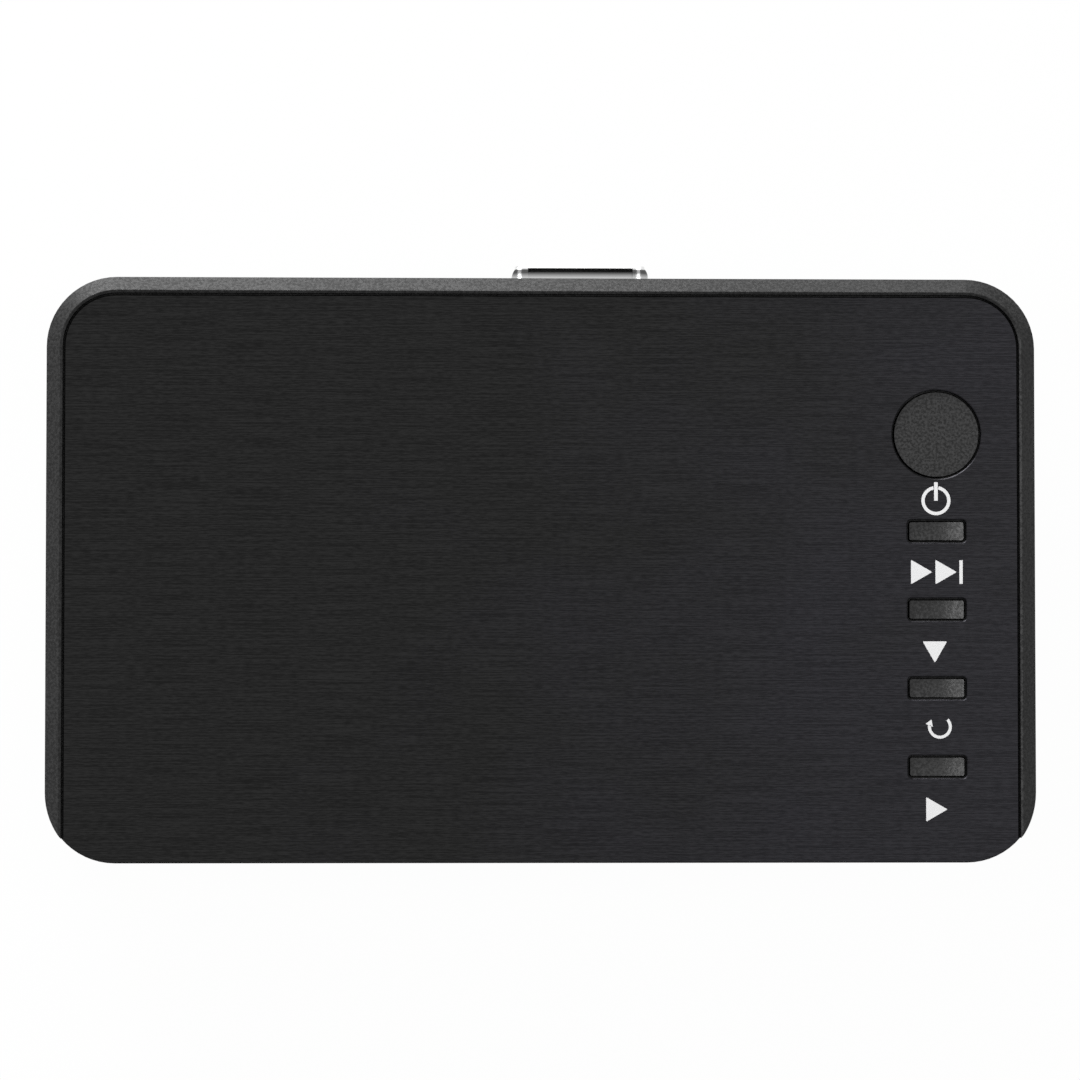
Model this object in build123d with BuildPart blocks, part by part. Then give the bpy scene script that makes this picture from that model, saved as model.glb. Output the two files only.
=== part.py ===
"""Pocket media player: a moulded case in two halves with a brushed aluminium top plate,
five keys over tact switches, and a main board with its sockets.

Frame, in millimetres: +X to the right of the keyed face, +Y to the rear, +Z up. The origin is on
the surface that the player stands on, at the centre of its bounding box.
"""

from build123d import *

import os
from math import atan2, degrees, sqrt

os.makedirs("parts", exist_ok=True)

# Case
case_length = 110.0
case_depth = 65.0
case_top = 20.0
corner_radius = 7.8
wall = 1.8
floor_thickness = 1.8
top_wall = 1.5
bottom_round = 1.2
foot_stand = 1.0
parting_chamfer = 0.2

# Sloping rim round the left, rear and right of the top
rim_width = 1.85
rim_crest = 0.3
rim_drop = 1.4
rim_edge_width = 0.22
rim_edge_drop = 0.12

# Top plate
plate_thickness = 0.8
plate_sink = 0.25
plate_gap = 0.22
plate_setback = 0.1
plate_edge = 0.1

# Main board and its standoffs
board_thickness = 1.6
board_gap = 0.5
standoff_height = 3.0
standoff_radius = 2.4
board_screw_inset = 4.2
board_screw_x = 34.0
board_screw_radius = 0.95
board_screw_head_radius = 1.8
board_screw_head_height = 1.3
board_hole_radius = 1.2

# Joint between the two halves
split_above_board = 2.6
lip_thickness = 0.8
lip_height = 1.0
lip_gap = 0.1

# Screws that close the case
post_inset = 4.9
post_radius = 3.1
post_web = 3.0
post_notch_gap = 0.4
case_screw_radius = 1.1
case_screw_head_radius = 2.0
case_screw_head_height = 1.5
counterbore_radius = 2.3
clearance_hole_radius = 1.3
screw_tip_gap = 0.4
fit_gap = 0.02
cross_depth = 0.8
cross_arm = 0.45
cross_reach = 0.65

# Feet
foot_radius = 4.0
foot_inset_x = 12.0
foot_inset_y = 10.5
foot_seat_depth = 0.6
foot_seat_gap = 0.2
foot_edge = 0.3

# Cooling slots in the floor
vent_length = 14.0
vent_width = 1.5
vent_pitch_x = 18.0
vent_pitch_y = 3.6
vent_columns = 2
vent_rows = 6

# Keys, seen from above: a round one and four bars in a column
key_inset = 11.11
key_front_inset = 10.64
bar_key_pitch = 8.73
power_key_pitch = 10.77
power_key_radius = 4.7
bar_key_length = 6.05
bar_key_width = 2.0
bar_key_corner = 0.22
key_sink = 0.25
key_plate_gap = 0.28
key_guide_gap = 0.15
key_crown = 0.25
key_edge = 0.15
key_flange = 0.8
key_flange_thickness = 1.0
key_play = 0.1
key_travel = 0.35
guide_wall = 0.8

# Tact switches under the keys
switch_side = 6.0
switch_body_height = 3.5
switch_height = 7.0
switch_sheet = 0.25
switch_clip_width = 3.0
switch_clip_length = 2.2
switch_stem_radius = 1.7
switch_foot_radius = 2.3
switch_foot_thickness = 0.7
switch_bore_gap = 0.15
dome_radius = 2.4
dome_top_radius = 0.9
dome_height = 0.5
dome_thickness = 0.12
dome_gap = 0.05
terminal_width = 0.7
terminal_thickness = 0.25
terminal_reach = 1.3
terminal_shoulder = 0.5
terminal_spacing = 4.5
terminal_rise = 0.9

# High-definition video socket in the rear wall
video_x = 4.5
video_mouth_width = 14.0
video_mouth_height = 4.55
video_corner_cut = 1.7
video_mouth_radius = 0.8
video_sheet = 0.3
video_lip = 0.7
video_lip_length = 3.0
video_lip_corner = 1.3
video_rim_edge = 0.22
video_rim_length = 0.3
video_rim_rise = 0.38
video_rim_hollow = 0.5
video_rim_width = 11.8
video_mouth_edge = 0.15
video_length = 11.8
video_stand_out = 2.0
video_tongue_width = 11.2
video_tongue_thickness = 1.1
video_tongue_setback = 1.4
video_block_length = 4.0
video_contact_pitch = 1.0
video_contact_width = 0.45
video_contact_thickness = 0.12
video_upper_contacts = 10
video_lower_contacts = 9
video_tail_width = 0.25
video_tail_length = 1.4
video_tab_width = 1.1
video_tab_setback = 5.2
video_tab_pitch = 4.8

# Serial-bus socket in the left wall
bus_mouth_width = 12.5
bus_mouth_height = 5.12
bus_sheet = 0.3
bus_flare = 0.6
bus_length = 14.0
bus_setback = 0.2
bus_tongue_width = 11.1
bus_tongue_thickness = 1.84
bus_tongue_below_top = 0.72
bus_tongue_setback = 1.6
bus_block_length = 4.0
bus_contacts = 4
bus_contact_pitch = 2.3
bus_contact_width = 1.0
bus_contact_thickness = 0.15
bus_tail_width = 0.6
bus_tab_width = 1.6
bus_tab_setback = 7.5

# Memory-card socket in the left wall
card_slot_width = 24.4
card_slot_height = 2.3
card_rail = 1.3
card_length = 27.5
card_floor = 0.4
card_sheet = 0.2
card_skirt_gap = 0.4
card_back = 1.5
card_mouth_gap = 0.5
card_wall_gap = 0.2
card_contacts = 9
card_contact_pitch = 2.5
card_contact_width = 1.0
card_contact_length = 7.0
card_contact_thickness = 0.15
card_tail_width = 0.6
card_tail_length = 1.2
card_window_length = 9.0
card_window_width = 1.4

# Tails and tabs that go through the board
tail_stick = 0.8
tail_hole_gap = 0.2
tail_step = 0.4

# Audio-video jack in the rear wall
jack_setback = 0.2
jack_wall_gap = 0.1
jack_hole_gap = 0.2
jack_leaf_width = 1.4
jack_leaf_thickness = 0.3
jack_leaf_gap = 0.05
jack_leaf_reach = 1.2
jack_leaf_window = 0.1
av_dc_gap = 6.1
av_bore_radius = 1.8
av_bore_length = 14.0
av_collar_radius = 2.9
av_body_width = 6.4
av_body_height = 5.2
av_end = 0.8
av_leaf_setback = 4.0
av_leaf_pitch = 5.0
av_leaf_rise = 1.0

# Power jack in the rear wall
dc_bus_gap = 2.75
dc_bore_radius = 2.25
dc_bore_length = 9.5
dc_collar_radius = 3.1
dc_body_width = 7.0
dc_body_height = 6.4
dc_end = 2.0
dc_pin_radius = 0.825
dc_pin_setback = 0.8
dc_pin_head_radius = 1.5
dc_pin_point = 0.4
dc_pin_shank_radius = 1.1
dc_spring_setback = 2.6
dc_spring_length = 5.0

# Remote-control window, receiver and lamp at the front
window_x = 22.0
window_width = 16.0
window_height = 4.5
window_corner = 1.0
window_above_split = 1.8
window_gap = 0.1
window_flange = 0.8
window_flange_thickness = 0.8
front_part_gap = 0.3
receiver_offset_x = -3.5
receiver_width = 6.0
receiver_height = 5.2
receiver_thickness = 2.4
receiver_lens_radius = 1.9
receiver_leads = 3
lamp_offset_x = 4.0
lamp_radius = 1.5
lamp_length = 4.2
lamp_flange_radius = 1.9
lamp_flange_thickness = 1.0
lamp_leads = 2
lead_side = 0.5
lead_pitch = 2.54
lead_bend = 0.5

# Processor, heat sink and the other parts on the board
processor_x = -2.0
processor_y = 0.0
processor_side = 15.0
processor_thickness = 1.2
pad_inset = 1.0
pad_thickness = 0.5
sink_side = 20.0
sink_base = 1.5
sink_height = 6.0
sink_fins = 7
sink_fin_thickness = 1.0
memory_gap = 2.0
memory_y = 2.0
memory_width = 9.0
memory_length = 13.0
memory_thickness = 1.1
flash_gap = 3.4
flash_side = 5.2
flash_thickness = 1.7
flash_legs = 4
flash_leg_pitch = 1.27
flash_leg_width = 0.42
flash_leg_rise = 0.9
crystal_y = -1.0
crystal_width = 4.7
crystal_length = 11.0
crystal_height = 3.4
crystal_rim = 0.3
crystal_rim_height = 0.5
coil_y = 17.0
coil_side = 5.2
coil_height = 2.9
coil_corner = 1.0
coil_edge = 0.4
can_jack_gap = 2.0
can_pitch = 6.7
can_radius = 2.5
can_height = 5.4
can_edge = 0.4
can_base_side = 5.3
can_base_thickness = 0.8
can_base_cut = 1.0
chip_length = 1.6
chip_width = 0.8
chip_height = 0.7
chip_pitch_x = 3.2
chip_pitch_y = 2.4
chip_columns = 5
chip_rows = 3
chips_x = 22.0
chips_y = -14.0

# Places and heights that follow from the sizes above
case_y = -video_stand_out / 2
left_x = -case_length / 2
rear_y = case_y + case_depth / 2
front_y = case_y - case_depth / 2
inner_left_x = left_x + wall
inner_rear_y = rear_y - wall
inner_front_y = front_y + wall
floor_top = foot_stand + floor_thickness
board_bottom = floor_top + standoff_height
board_top = board_bottom + board_thickness
split_z = board_top + split_above_board
plate_top = case_top - plate_sink
plate_bottom = plate_top - plate_thickness
top_underside = plate_bottom - top_wall
board_length = case_length - 2 * (wall + board_gap)
board_depth = case_depth - 2 * (wall + board_gap)
board_corner = corner_radius - wall - board_gap
board_screw_y = board_depth / 2 - board_screw_inset
board_screw_length = board_thickness + standoff_height - screw_tip_gap
post_x = case_length / 2 - post_inset
post_y = case_depth / 2 - post_inset
head_seat = split_z - post_web
case_screw_length = top_underside - head_seat - screw_tip_gap
foot_x = case_length / 2 - foot_inset_x
foot_y = case_depth / 2 - foot_inset_y
key_x = case_length / 2 - key_inset
play_key_y = key_front_inset - case_depth / 2
key_top = plate_top - key_sink
key_seat = board_top + switch_height
flange_top = key_seat + key_flange_thickness
guide_bottom = flange_top + key_play
tail_bottom = -board_thickness - tail_stick
video_z = board_top + video_mouth_height / 2 + video_sheet
video_tip_y = rear_y + video_stand_out
video_back_y = video_tip_y - video_length
bus_z = board_top + bus_mouth_height / 2 + bus_sheet
bus_mouth_x = left_x + bus_setback
bus_back_x = bus_mouth_x + bus_length
bus_tail_end_x = bus_back_x + tail_step + bus_contact_thickness
bus_outer_width = bus_mouth_width + 2 * (bus_sheet + bus_flare)
bus_tongue_rise = bus_mouth_height / 2 - bus_tongue_below_top - bus_tongue_thickness / 2
card_z = board_top + card_floor + card_slot_height / 2
card_height = card_floor + card_slot_height
card_width = card_slot_width + 2 * card_rail
card_cover_width = card_width + 2 * card_sheet
card_mouth_x = inner_left_x + card_wall_gap
card_back_x = card_mouth_x + card_length
card_tail_end_x = card_back_x + tail_step + card_contact_thickness + card_tail_length
jack_face_y = rear_y - jack_setback
jack_body_y = inner_rear_y - jack_wall_gap
dc_x = bus_tail_end_x + dc_bus_gap + dc_body_width / 2
av_left_x = dc_x + dc_body_width / 2 + av_dc_gap
av_x = av_left_x + jack_leaf_reach + av_body_width / 2
av_right_x = av_x + av_body_width / 2 + jack_leaf_reach
board_screw_rear_left_x = (dc_x + dc_body_width / 2 + av_left_x) / 2
av_z = board_top + av_body_height / 2
av_back_y = jack_face_y - av_bore_length - av_end
dc_z = board_top + dc_body_height / 2
dc_bore_end_y = jack_face_y - dc_bore_length
dc_back_y = dc_bore_end_y - dc_end
dc_spring_y = jack_face_y - dc_spring_setback
dc_spring_rise = -dc_bore_radius - jack_leaf_gap - jack_leaf_thickness / 2
window_z = split_z + window_above_split + window_height / 2
window_back_y = inner_front_y + window_flange_thickness
receiver_x = window_x + receiver_offset_x
receiver_y = window_back_y + front_part_gap + receiver_lens_radius
lamp_x = window_x + lamp_offset_x
lamp_y = window_back_y + front_part_gap
lamp_lead_y = lamp_y + lamp_length + lead_bend
sink_z = board_top + processor_thickness + pad_thickness
memory_x = processor_x + sink_side / 2 + memory_gap + memory_width / 2
flash_y = processor_y - sink_side / 2 - flash_gap - flash_side / 2
crystal_x = (card_tail_end_x + processor_x - sink_side / 2) / 2
coil_x = (av_right_x + video_x - video_mouth_width / 2 - video_lip) / 2
can_x = (dc_x + av_x) / 2
can_y = av_back_y - can_jack_gap - can_base_side / 2

# The bus and card sockets share the left side, evenly, between a post and a screw
port_space = post_y - post_radius + board_screw_y - board_screw_head_radius
port_gap = (port_space - bus_outer_width - card_cover_width) / 3
card_y = board_screw_head_radius - board_screw_y + port_gap + card_cover_width / 2
bus_y = post_y - post_radius - port_gap - bus_outer_width / 2

key_names = ("power", "next", "down", "return", "play")
bar_key_ys = [play_key_y + n * bar_key_pitch for n in reversed(range(len(key_names) - 1))]
key_ys = dict(zip(key_names, [bar_key_ys[0] + power_key_pitch, *bar_key_ys]))


def save(builder, name):
    """Labels a finished piece and writes it under its name."""
    builder.part.label = name
    export_step(builder.part, f"parts/{name}.step")


def level(z):
    """Horizontal plane at height z, with its origin at the middle of the case."""
    return Plane((0, case_y, z))


def facing_rear(x, y, z):
    """Upright plane at a point, looking to the rear, with its second axis up."""
    return Plane(origin=(x, y, z), x_dir=(-1, 0, 0), z_dir=(0, 1, 0))


def facing_front(x, y, z):
    """Upright plane at a point, looking to the front, with its second axis up."""
    return Plane(origin=(x, y, z), x_dir=(1, 0, 0), z_dir=(0, -1, 0))


def facing_left(x, y, z):
    """Upright plane at a point, looking to the left, with its second axis up."""
    return Plane(origin=(x, y, z), x_dir=(0, -1, 0), z_dir=(-1, 0, 0))


def case_outline(inset=0.0, mode=Mode.ADD):
    """Draws the case's rounded plan, drawn in from its outer wall by inset."""
    length = case_length - 2 * inset
    depth = case_depth - 2 * inset
    RectangleRounded(length, depth, corner_radius - inset, mode=mode)


def open_front_outline(sketch, inset):
    """Draws a plan with rounded rear corners whose sides run on past the front."""
    with Locations((0, -corner_radius - inset / 2)):
        Rectangle(case_length - 2 * inset, case_depth + 2 * corner_radius - inset)
    fillet(sketch.vertices().group_by(Axis.Y)[-1], corner_radius - inset)


def post_places():
    """The four places where a screw closes the case."""
    return GridLocations(2 * post_x, 2 * post_y, 2, 2)


def board_screw_places():
    """The four places where a screw holds the board, clear of the rear sockets."""
    return Locations(
        (-board_screw_x, -board_screw_y),
        (board_screw_x, -board_screw_y),
        (board_screw_x, board_screw_y),
        (board_screw_rear_left_x, board_screw_y),
    )


def key_outlines(grow):
    """Draws the outlines of the five keys, grown outwards by grow."""
    with Locations((key_x, key_ys["power"])):
        Circle(power_key_radius + grow)
    for y in bar_key_ys:
        bar_key_outline(y, grow)


def bar_key_outline(y, grow):
    """Draws the outline of the bar key at y, grown outwards by grow."""
    with Locations((key_x, y)):
        length = bar_key_length + 2 * grow
        RectangleRounded(length, bar_key_width + 2 * grow, bar_key_corner + grow)


def video_outline(sketch, grow):
    """Draws the video socket's mouth, cut at its lower corners, grown outwards by grow."""
    Rectangle(video_mouth_width + 2 * grow, video_mouth_height + 2 * grow)
    chamfer(sketch.vertices().group_by(Axis.Y)[0], video_corner_cut + (2 - sqrt(2)) * grow)
    fillet(sketch.vertices().group_by(Axis.Y)[-1], video_mouth_radius + grow)


def cut_socket_openings():
    """Cuts every socket's opening through the walls of the half that is being built."""
    through = 2 * wall
    with BuildSketch(facing_rear(video_x, rear_y, video_z)) as video_opening:
        video_outline(video_opening, video_lip + jack_hole_gap)
    extrude(video_opening.sketch, amount=through, both=True, mode=Mode.SUBTRACT)
    for x, z, radius in ((av_x, av_z, av_collar_radius), (dc_x, dc_z, dc_collar_radius)):
        with BuildSketch(facing_rear(x, rear_y, z)) as jack_opening:
            Circle(radius + jack_hole_gap)
        extrude(jack_opening.sketch, amount=through, both=True, mode=Mode.SUBTRACT)
    with BuildSketch(facing_left(left_x, case_y + bus_y, bus_z)) as bus_opening:
        hole_width = bus_outer_width + 2 * jack_hole_gap
        Rectangle(hole_width, hole_width - bus_mouth_width + bus_mouth_height)
    extrude(bus_opening.sketch, amount=through, both=True, mode=Mode.SUBTRACT)
    with BuildSketch(facing_left(left_x, case_y + card_y, card_z)) as card_opening:
        Rectangle(card_slot_width + 2 * card_mouth_gap, card_slot_height + 2 * card_mouth_gap)
    extrude(card_opening.sketch, amount=through, both=True, mode=Mode.SUBTRACT)


def cross_outlines(places):
    """Draws the cross that a screwdriver turns on each of the given places."""
    with places:
        Rectangle(2 * cross_reach, cross_arm)
        Rectangle(cross_arm, 2 * cross_reach)


def add_contacts(back, rise, count, pitch, size, front, tail, foot):
    """Adds a row of flat contacts that run through a socket's back and end in tails.

    back is the plane on the socket's back, at board level and looking to its mouth. rise is the
    height of the strips' middle over the board, size their width and thickness, and front how
    far they reach from the back to the mouth. tail is the tails' width and how low they go, and
    foot is the length that lies on the board, or zero where the tails go through it.
    """
    width, thickness = size
    tail_width, tail_low = tail
    with BuildSketch(back.offset(-tail_step)) as strips:
        with Locations((0, rise)):
            with GridLocations(pitch, 0, count, 1):
                Rectangle(width, thickness)
    extrude(strips.sketch, amount=tail_step + front)
    drop = rise + thickness / 2 - tail_low
    with BuildSketch(back.offset(-tail_step)) as drops:
        with Locations((0, tail_low + drop / 2)):
            with GridLocations(pitch, 0, count, 1):
                Rectangle(tail_width, drop)
    extrude(drops.sketch, amount=-thickness)
    if foot > 0:
        with BuildSketch(back.offset(-tail_step)) as feet:
            with Locations((0, thickness / 2)):
                with GridLocations(pitch, 0, count, 1):
                    Rectangle(tail_width, thickness)
        extrude(feet.sketch, amount=-thickness - foot)


def cut_contacts(back, rise, count, pitch, size, length):
    """Cuts the channels that a row of contacts runs through, length deep from the back."""
    with BuildSketch(back) as channels:
        with Locations((0, rise)):
            with GridLocations(pitch, 0, count, 1):
                Rectangle(*size)
    extrude(channels.sketch, amount=length, mode=Mode.SUBTRACT)


# Upper half of the case
with BuildPart() as upper_housing:
    with BuildSketch(level(split_z)) as rim_plan:
        open_front_outline(rim_plan, 0)
    extrude(amount=case_top - split_z)
    crown = upper_housing.faces().sort_by(Axis.Z)[-1]
    chamfer(crown.edges().sort_by(Axis.Y)[1:], rim_width - rim_crest, rim_drop, reference=crown)
    with BuildSketch(level(split_z)):
        case_outline()
    extrude(amount=case_top - split_z, mode=Mode.INTERSECT)
    chamfer(upper_housing.faces().sort_by(Axis.Z)[0].edges(), parting_chamfer)
    # Recess for the top plate, open to the front
    with BuildSketch(level(plate_bottom)) as plate_recess:
        open_front_outline(plate_recess, rim_width)
    extrude(amount=case_top - plate_bottom, mode=Mode.SUBTRACT)
    with BuildSketch(level(case_top - rim_edge_drop)) as crest_bevel:
        open_front_outline(crest_bevel, rim_width)
    widening = degrees(atan2(rim_edge_width, rim_edge_drop))
    extrude(amount=rim_edge_drop, taper=-widening, mode=Mode.SUBTRACT)
    with BuildSketch(level(split_z)):
        case_outline(wall)
    extrude(amount=top_underside - split_z, mode=Mode.SUBTRACT)
    # Posts for the case screws and guide sleeves for the keys
    with BuildSketch(level(split_z)):
        with post_places():
            Circle(post_radius)
    extrude(amount=top_underside - split_z)
    with BuildSketch(level(guide_bottom)):
        key_outlines(key_guide_gap + guide_wall)
    extrude(amount=top_underside - guide_bottom)
    with BuildSketch(level(guide_bottom)):
        key_outlines(key_guide_gap)
    extrude(amount=plate_bottom - guide_bottom, mode=Mode.SUBTRACT)
    # Rebate that takes the lower half's lip
    with BuildSketch(level(split_z)):
        case_outline(wall - lip_thickness - lip_gap)
        case_outline(wall + lip_gap, mode=Mode.SUBTRACT)
    extrude(amount=lip_height + lip_gap, mode=Mode.SUBTRACT)
    with BuildSketch(level(split_z)):
        with post_places():
            Circle(case_screw_radius + fit_gap)
    extrude(amount=top_underside - split_z, mode=Mode.SUBTRACT)
    with BuildSketch(facing_front(window_x, front_y, window_z)):
        RectangleRounded(window_width, window_height, window_corner)
    extrude(amount=2 * wall, both=True, mode=Mode.SUBTRACT)
    cut_socket_openings()
save(upper_housing, "upper_housing")

# Brushed plate, let into the upper half and open round the keys
with BuildPart() as top_plate:
    with BuildSketch(level(plate_bottom)) as plate_plan:
        open_front_outline(plate_plan, rim_width + plate_gap)
        case_outline(plate_setback, mode=Mode.INTERSECT)
    extrude(amount=plate_thickness)
    with BuildSketch(level(plate_bottom)):
        key_outlines(key_plate_gap)
    extrude(amount=plate_thickness, mode=Mode.SUBTRACT)
    chamfer(top_plate.faces().sort_by(Axis.Z)[-1].edges(), plate_edge)
save(top_plate, "top_plate")

# Lower half of the case
with BuildPart() as lower_housing:
    with BuildSketch(level(foot_stand)):
        case_outline()
    extrude(amount=split_z - foot_stand)
    fillet(lower_housing.faces().sort_by(Axis.Z)[0].edges(), bottom_round)
    chamfer(lower_housing.faces().sort_by(Axis.Z)[-1].edges(), parting_chamfer)
    with BuildSketch(level(floor_top)):
        case_outline(wall)
    extrude(amount=split_z - floor_top, mode=Mode.SUBTRACT)
    # Lip that stands up inside the upper half
    with BuildSketch(level(split_z)):
        case_outline(wall - lip_thickness)
        case_outline(wall, mode=Mode.SUBTRACT)
    extrude(amount=lip_height)
    with BuildSketch(level(floor_top)):
        with post_places():
            Circle(post_radius)
    extrude(amount=split_z - floor_top)
    with BuildSketch(level(floor_top)):
        with board_screw_places():
            Circle(standoff_radius)
    extrude(amount=standoff_height)
    # Screw holes, cooling slots and seats for the feet
    with BuildSketch(level(foot_stand)):
        with post_places():
            Circle(counterbore_radius)
    extrude(amount=head_seat - foot_stand, mode=Mode.SUBTRACT)
    with BuildSketch(level(head_seat)):
        with post_places():
            Circle(clearance_hole_radius)
    extrude(amount=split_z - head_seat, mode=Mode.SUBTRACT)
    with BuildSketch(level(floor_top)):
        with board_screw_places():
            Circle(board_screw_radius + fit_gap)
    extrude(amount=standoff_height, mode=Mode.SUBTRACT)
    with BuildSketch(level(foot_stand)):
        with GridLocations(vent_pitch_x, vent_pitch_y, vent_columns, vent_rows):
            SlotOverall(vent_length, vent_width)
    extrude(amount=floor_thickness, mode=Mode.SUBTRACT)
    with BuildSketch(level(foot_stand)):
        with GridLocations(2 * foot_x, 2 * foot_y, 2, 2):
            Circle(foot_radius + foot_seat_gap)
    extrude(amount=foot_seat_depth, mode=Mode.SUBTRACT)
    cut_socket_openings()
save(lower_housing, "lower_housing")

# Four screws, put in from below, that hold the halves together
with BuildPart() as case_screws:
    with BuildSketch(level(head_seat - case_screw_head_height)):
        with post_places():
            Circle(case_screw_head_radius)
    extrude(amount=case_screw_head_height)
    with BuildSketch(level(head_seat)):
        with post_places():
            Circle(case_screw_radius)
    extrude(amount=case_screw_length)
    with BuildSketch(level(head_seat - case_screw_head_height)):
        cross_outlines(post_places())
    extrude(amount=cross_depth, mode=Mode.SUBTRACT)
save(case_screws, "case_screws")

# Four screws, put in from above, that hold the board on its standoffs
with BuildPart() as board_screws:
    with BuildSketch(level(board_top)):
        with board_screw_places():
            Circle(board_screw_head_radius)
    extrude(amount=board_screw_head_height)
    with BuildSketch(level(board_top - board_screw_length)):
        with board_screw_places():
            Circle(board_screw_radius)
    extrude(amount=board_screw_length)
    with BuildSketch(level(board_top + board_screw_head_height)):
        cross_outlines(board_screw_places())
    extrude(amount=-cross_depth, mode=Mode.SUBTRACT)
save(board_screws, "board_screws")


def make_foot(name, x, y):
    """Round rubber foot, stuck into its seat in the floor."""
    with BuildPart() as foot:
        with BuildSketch(level(0)):
            with Locations((x, y)):
                Circle(foot_radius)
        extrude(amount=foot_stand + foot_seat_depth)
        chamfer(foot.faces().sort_by(Axis.Z)[0].edges(), foot_edge)
    save(foot, name)


make_foot("front_left_foot", -foot_x, -foot_y)
make_foot("front_right_foot", foot_x, -foot_y)
make_foot("rear_left_foot", -foot_x, foot_y)
make_foot("rear_right_foot", foot_x, foot_y)


def board_slot(x, y, x_side, y_side):
    """Cuts a slot through the board round a tab or tail with the given sides."""
    with BuildSketch(Plane((x, y, board_bottom))) as slot:
        Rectangle(x_side + 2 * tail_hole_gap, y_side + 2 * tail_hole_gap)
    extrude(slot.sketch, amount=board_thickness, mode=Mode.SUBTRACT)


def board_holes(x, y, x_pitch, y_pitch, x_count, y_count, radius):
    """Drills a grid of round holes through the board."""
    with BuildSketch(Plane((x, y, board_bottom))) as holes:
        with GridLocations(x_pitch, y_pitch, x_count, y_count):
            Circle(radius)
    extrude(holes.sketch, amount=board_thickness, mode=Mode.SUBTRACT)


# Printed circuit board, notched round the posts
with BuildPart() as main_board:
    with BuildSketch(level(board_bottom)):
        RectangleRounded(board_length, board_depth, board_corner)
        with post_places():
            Circle(post_radius + post_notch_gap, mode=Mode.SUBTRACT)
        with board_screw_places():
            Circle(board_hole_radius, mode=Mode.SUBTRACT)
    extrude(amount=board_thickness)
    for side in (-1, 1):
        tab_x = video_x + side * (video_mouth_width + video_sheet) / 2
        for setback in (video_tab_setback, video_tab_setback + video_tab_pitch):
            board_slot(tab_x, video_tip_y - setback, video_sheet, video_tab_width)
        tab_y = case_y + bus_y + side * (bus_mouth_width + bus_sheet) / 2
        board_slot(bus_mouth_x + bus_tab_setback, tab_y, bus_tab_width, bus_sheet)
    bus_tail_x = bus_back_x + tail_step + bus_contact_thickness / 2
    bus_hole = bus_tail_width / 2 + tail_hole_gap
    board_holes(bus_tail_x, case_y + bus_y, 0, bus_contact_pitch, 1, bus_contacts, bus_hole)
    board_slot(dc_x, dc_back_y - jack_leaf_thickness / 2, jack_leaf_width, jack_leaf_thickness)
    board_slot(
        dc_x,
        dc_spring_y - dc_spring_length + jack_leaf_thickness / 2,
        jack_leaf_width,
        jack_leaf_thickness,
    )
    lead_hole = lead_side / sqrt(2) + tail_hole_gap / 2
    receiver_lead_y = receiver_y + receiver_thickness / 2
    board_holes(receiver_x, receiver_lead_y, lead_pitch, 0, receiver_leads, 1, lead_hole)
    board_holes(lamp_x, lamp_lead_y, lead_pitch, 0, lamp_leads, 1, lead_hole)
save(main_board, "main_board")

# Video socket: drawn shell with a lip, hollowed on top behind a bevelled rear rim
with BuildPart() as video_socket_shell:
    with BuildSketch(facing_rear(video_x, video_tip_y, video_z)) as lip_section:
        video_outline(lip_section, video_lip)
    extrude(amount=-video_lip_length)
    lip_bottom = Plane((video_x, video_tip_y - video_lip_length / 2, board_bottom))
    with BuildSketch(lip_bottom) as lip_plan:
        Rectangle(video_mouth_width + 2 * video_lip, video_lip_length)
        fillet(lip_plan.vertices().group_by(Axis.Y)[-1], video_lip_corner)
    extrude(amount=case_top - board_bottom, mode=Mode.INTERSECT)
    lip_top = facing_left(video_x, video_tip_y, video_z + video_mouth_height / 2 + video_lip)
    with BuildSketch(lip_top):
        Polygon((0, 0), (video_rim_edge, 0), (0, -video_rim_edge), align=None)
    extrude(amount=video_mouth_width, both=True, mode=Mode.SUBTRACT)
    rim_foot = video_rim_length + video_rim_hollow
    with BuildSketch(lip_top):
        with BuildLine():
            Polyline(
                (video_rim_length, 0),
                (video_lip_length, 0),
                (video_lip_length, -video_rim_rise),
                (rim_foot, -video_rim_rise),
            )
            TangentArc((rim_foot, -video_rim_rise), (video_rim_length, 0), tangent=(-1, 0))
        make_face()
    extrude(amount=video_rim_width / 2, both=True, mode=Mode.SUBTRACT)
    with BuildSketch(facing_rear(video_x, video_tip_y, video_z)) as shell_section:
        video_outline(shell_section, video_sheet)
    extrude(amount=-video_length)
    with BuildSketch(facing_rear(video_x, video_tip_y, video_z)) as mouth_section:
        video_outline(mouth_section, 0)
    extrude(amount=-video_length, mode=Mode.SUBTRACT)
    lip_face = video_socket_shell.faces().sort_by(Axis.Y)[-1]
    chamfer(lip_face.inner_wires()[0].edges(), video_mouth_edge)
    tab_setbacks = (video_tab_setback, video_tab_setback + video_tab_pitch)
    with BuildSketch(Plane((video_x, video_tip_y, board_top + tail_bottom))):
        for setback in tab_setbacks:
            with Locations((0, -setback)):
                with GridLocations(video_mouth_width + video_sheet, 0, 2, 1):
                    Rectangle(video_sheet, video_tab_width)
    extrude(amount=video_z - board_top - tail_bottom)
save(video_socket_shell, "video_socket_shell")

video_back = facing_rear(video_x, video_back_y, board_top)
video_contact_size = (video_contact_width, video_contact_thickness)
video_rise = video_z - board_top
video_contact_offset = (video_tongue_thickness + video_contact_thickness) / 2
video_rows = (
    (video_rise + video_contact_offset, video_upper_contacts),
    (video_rise - video_contact_offset, video_lower_contacts),
)

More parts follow.
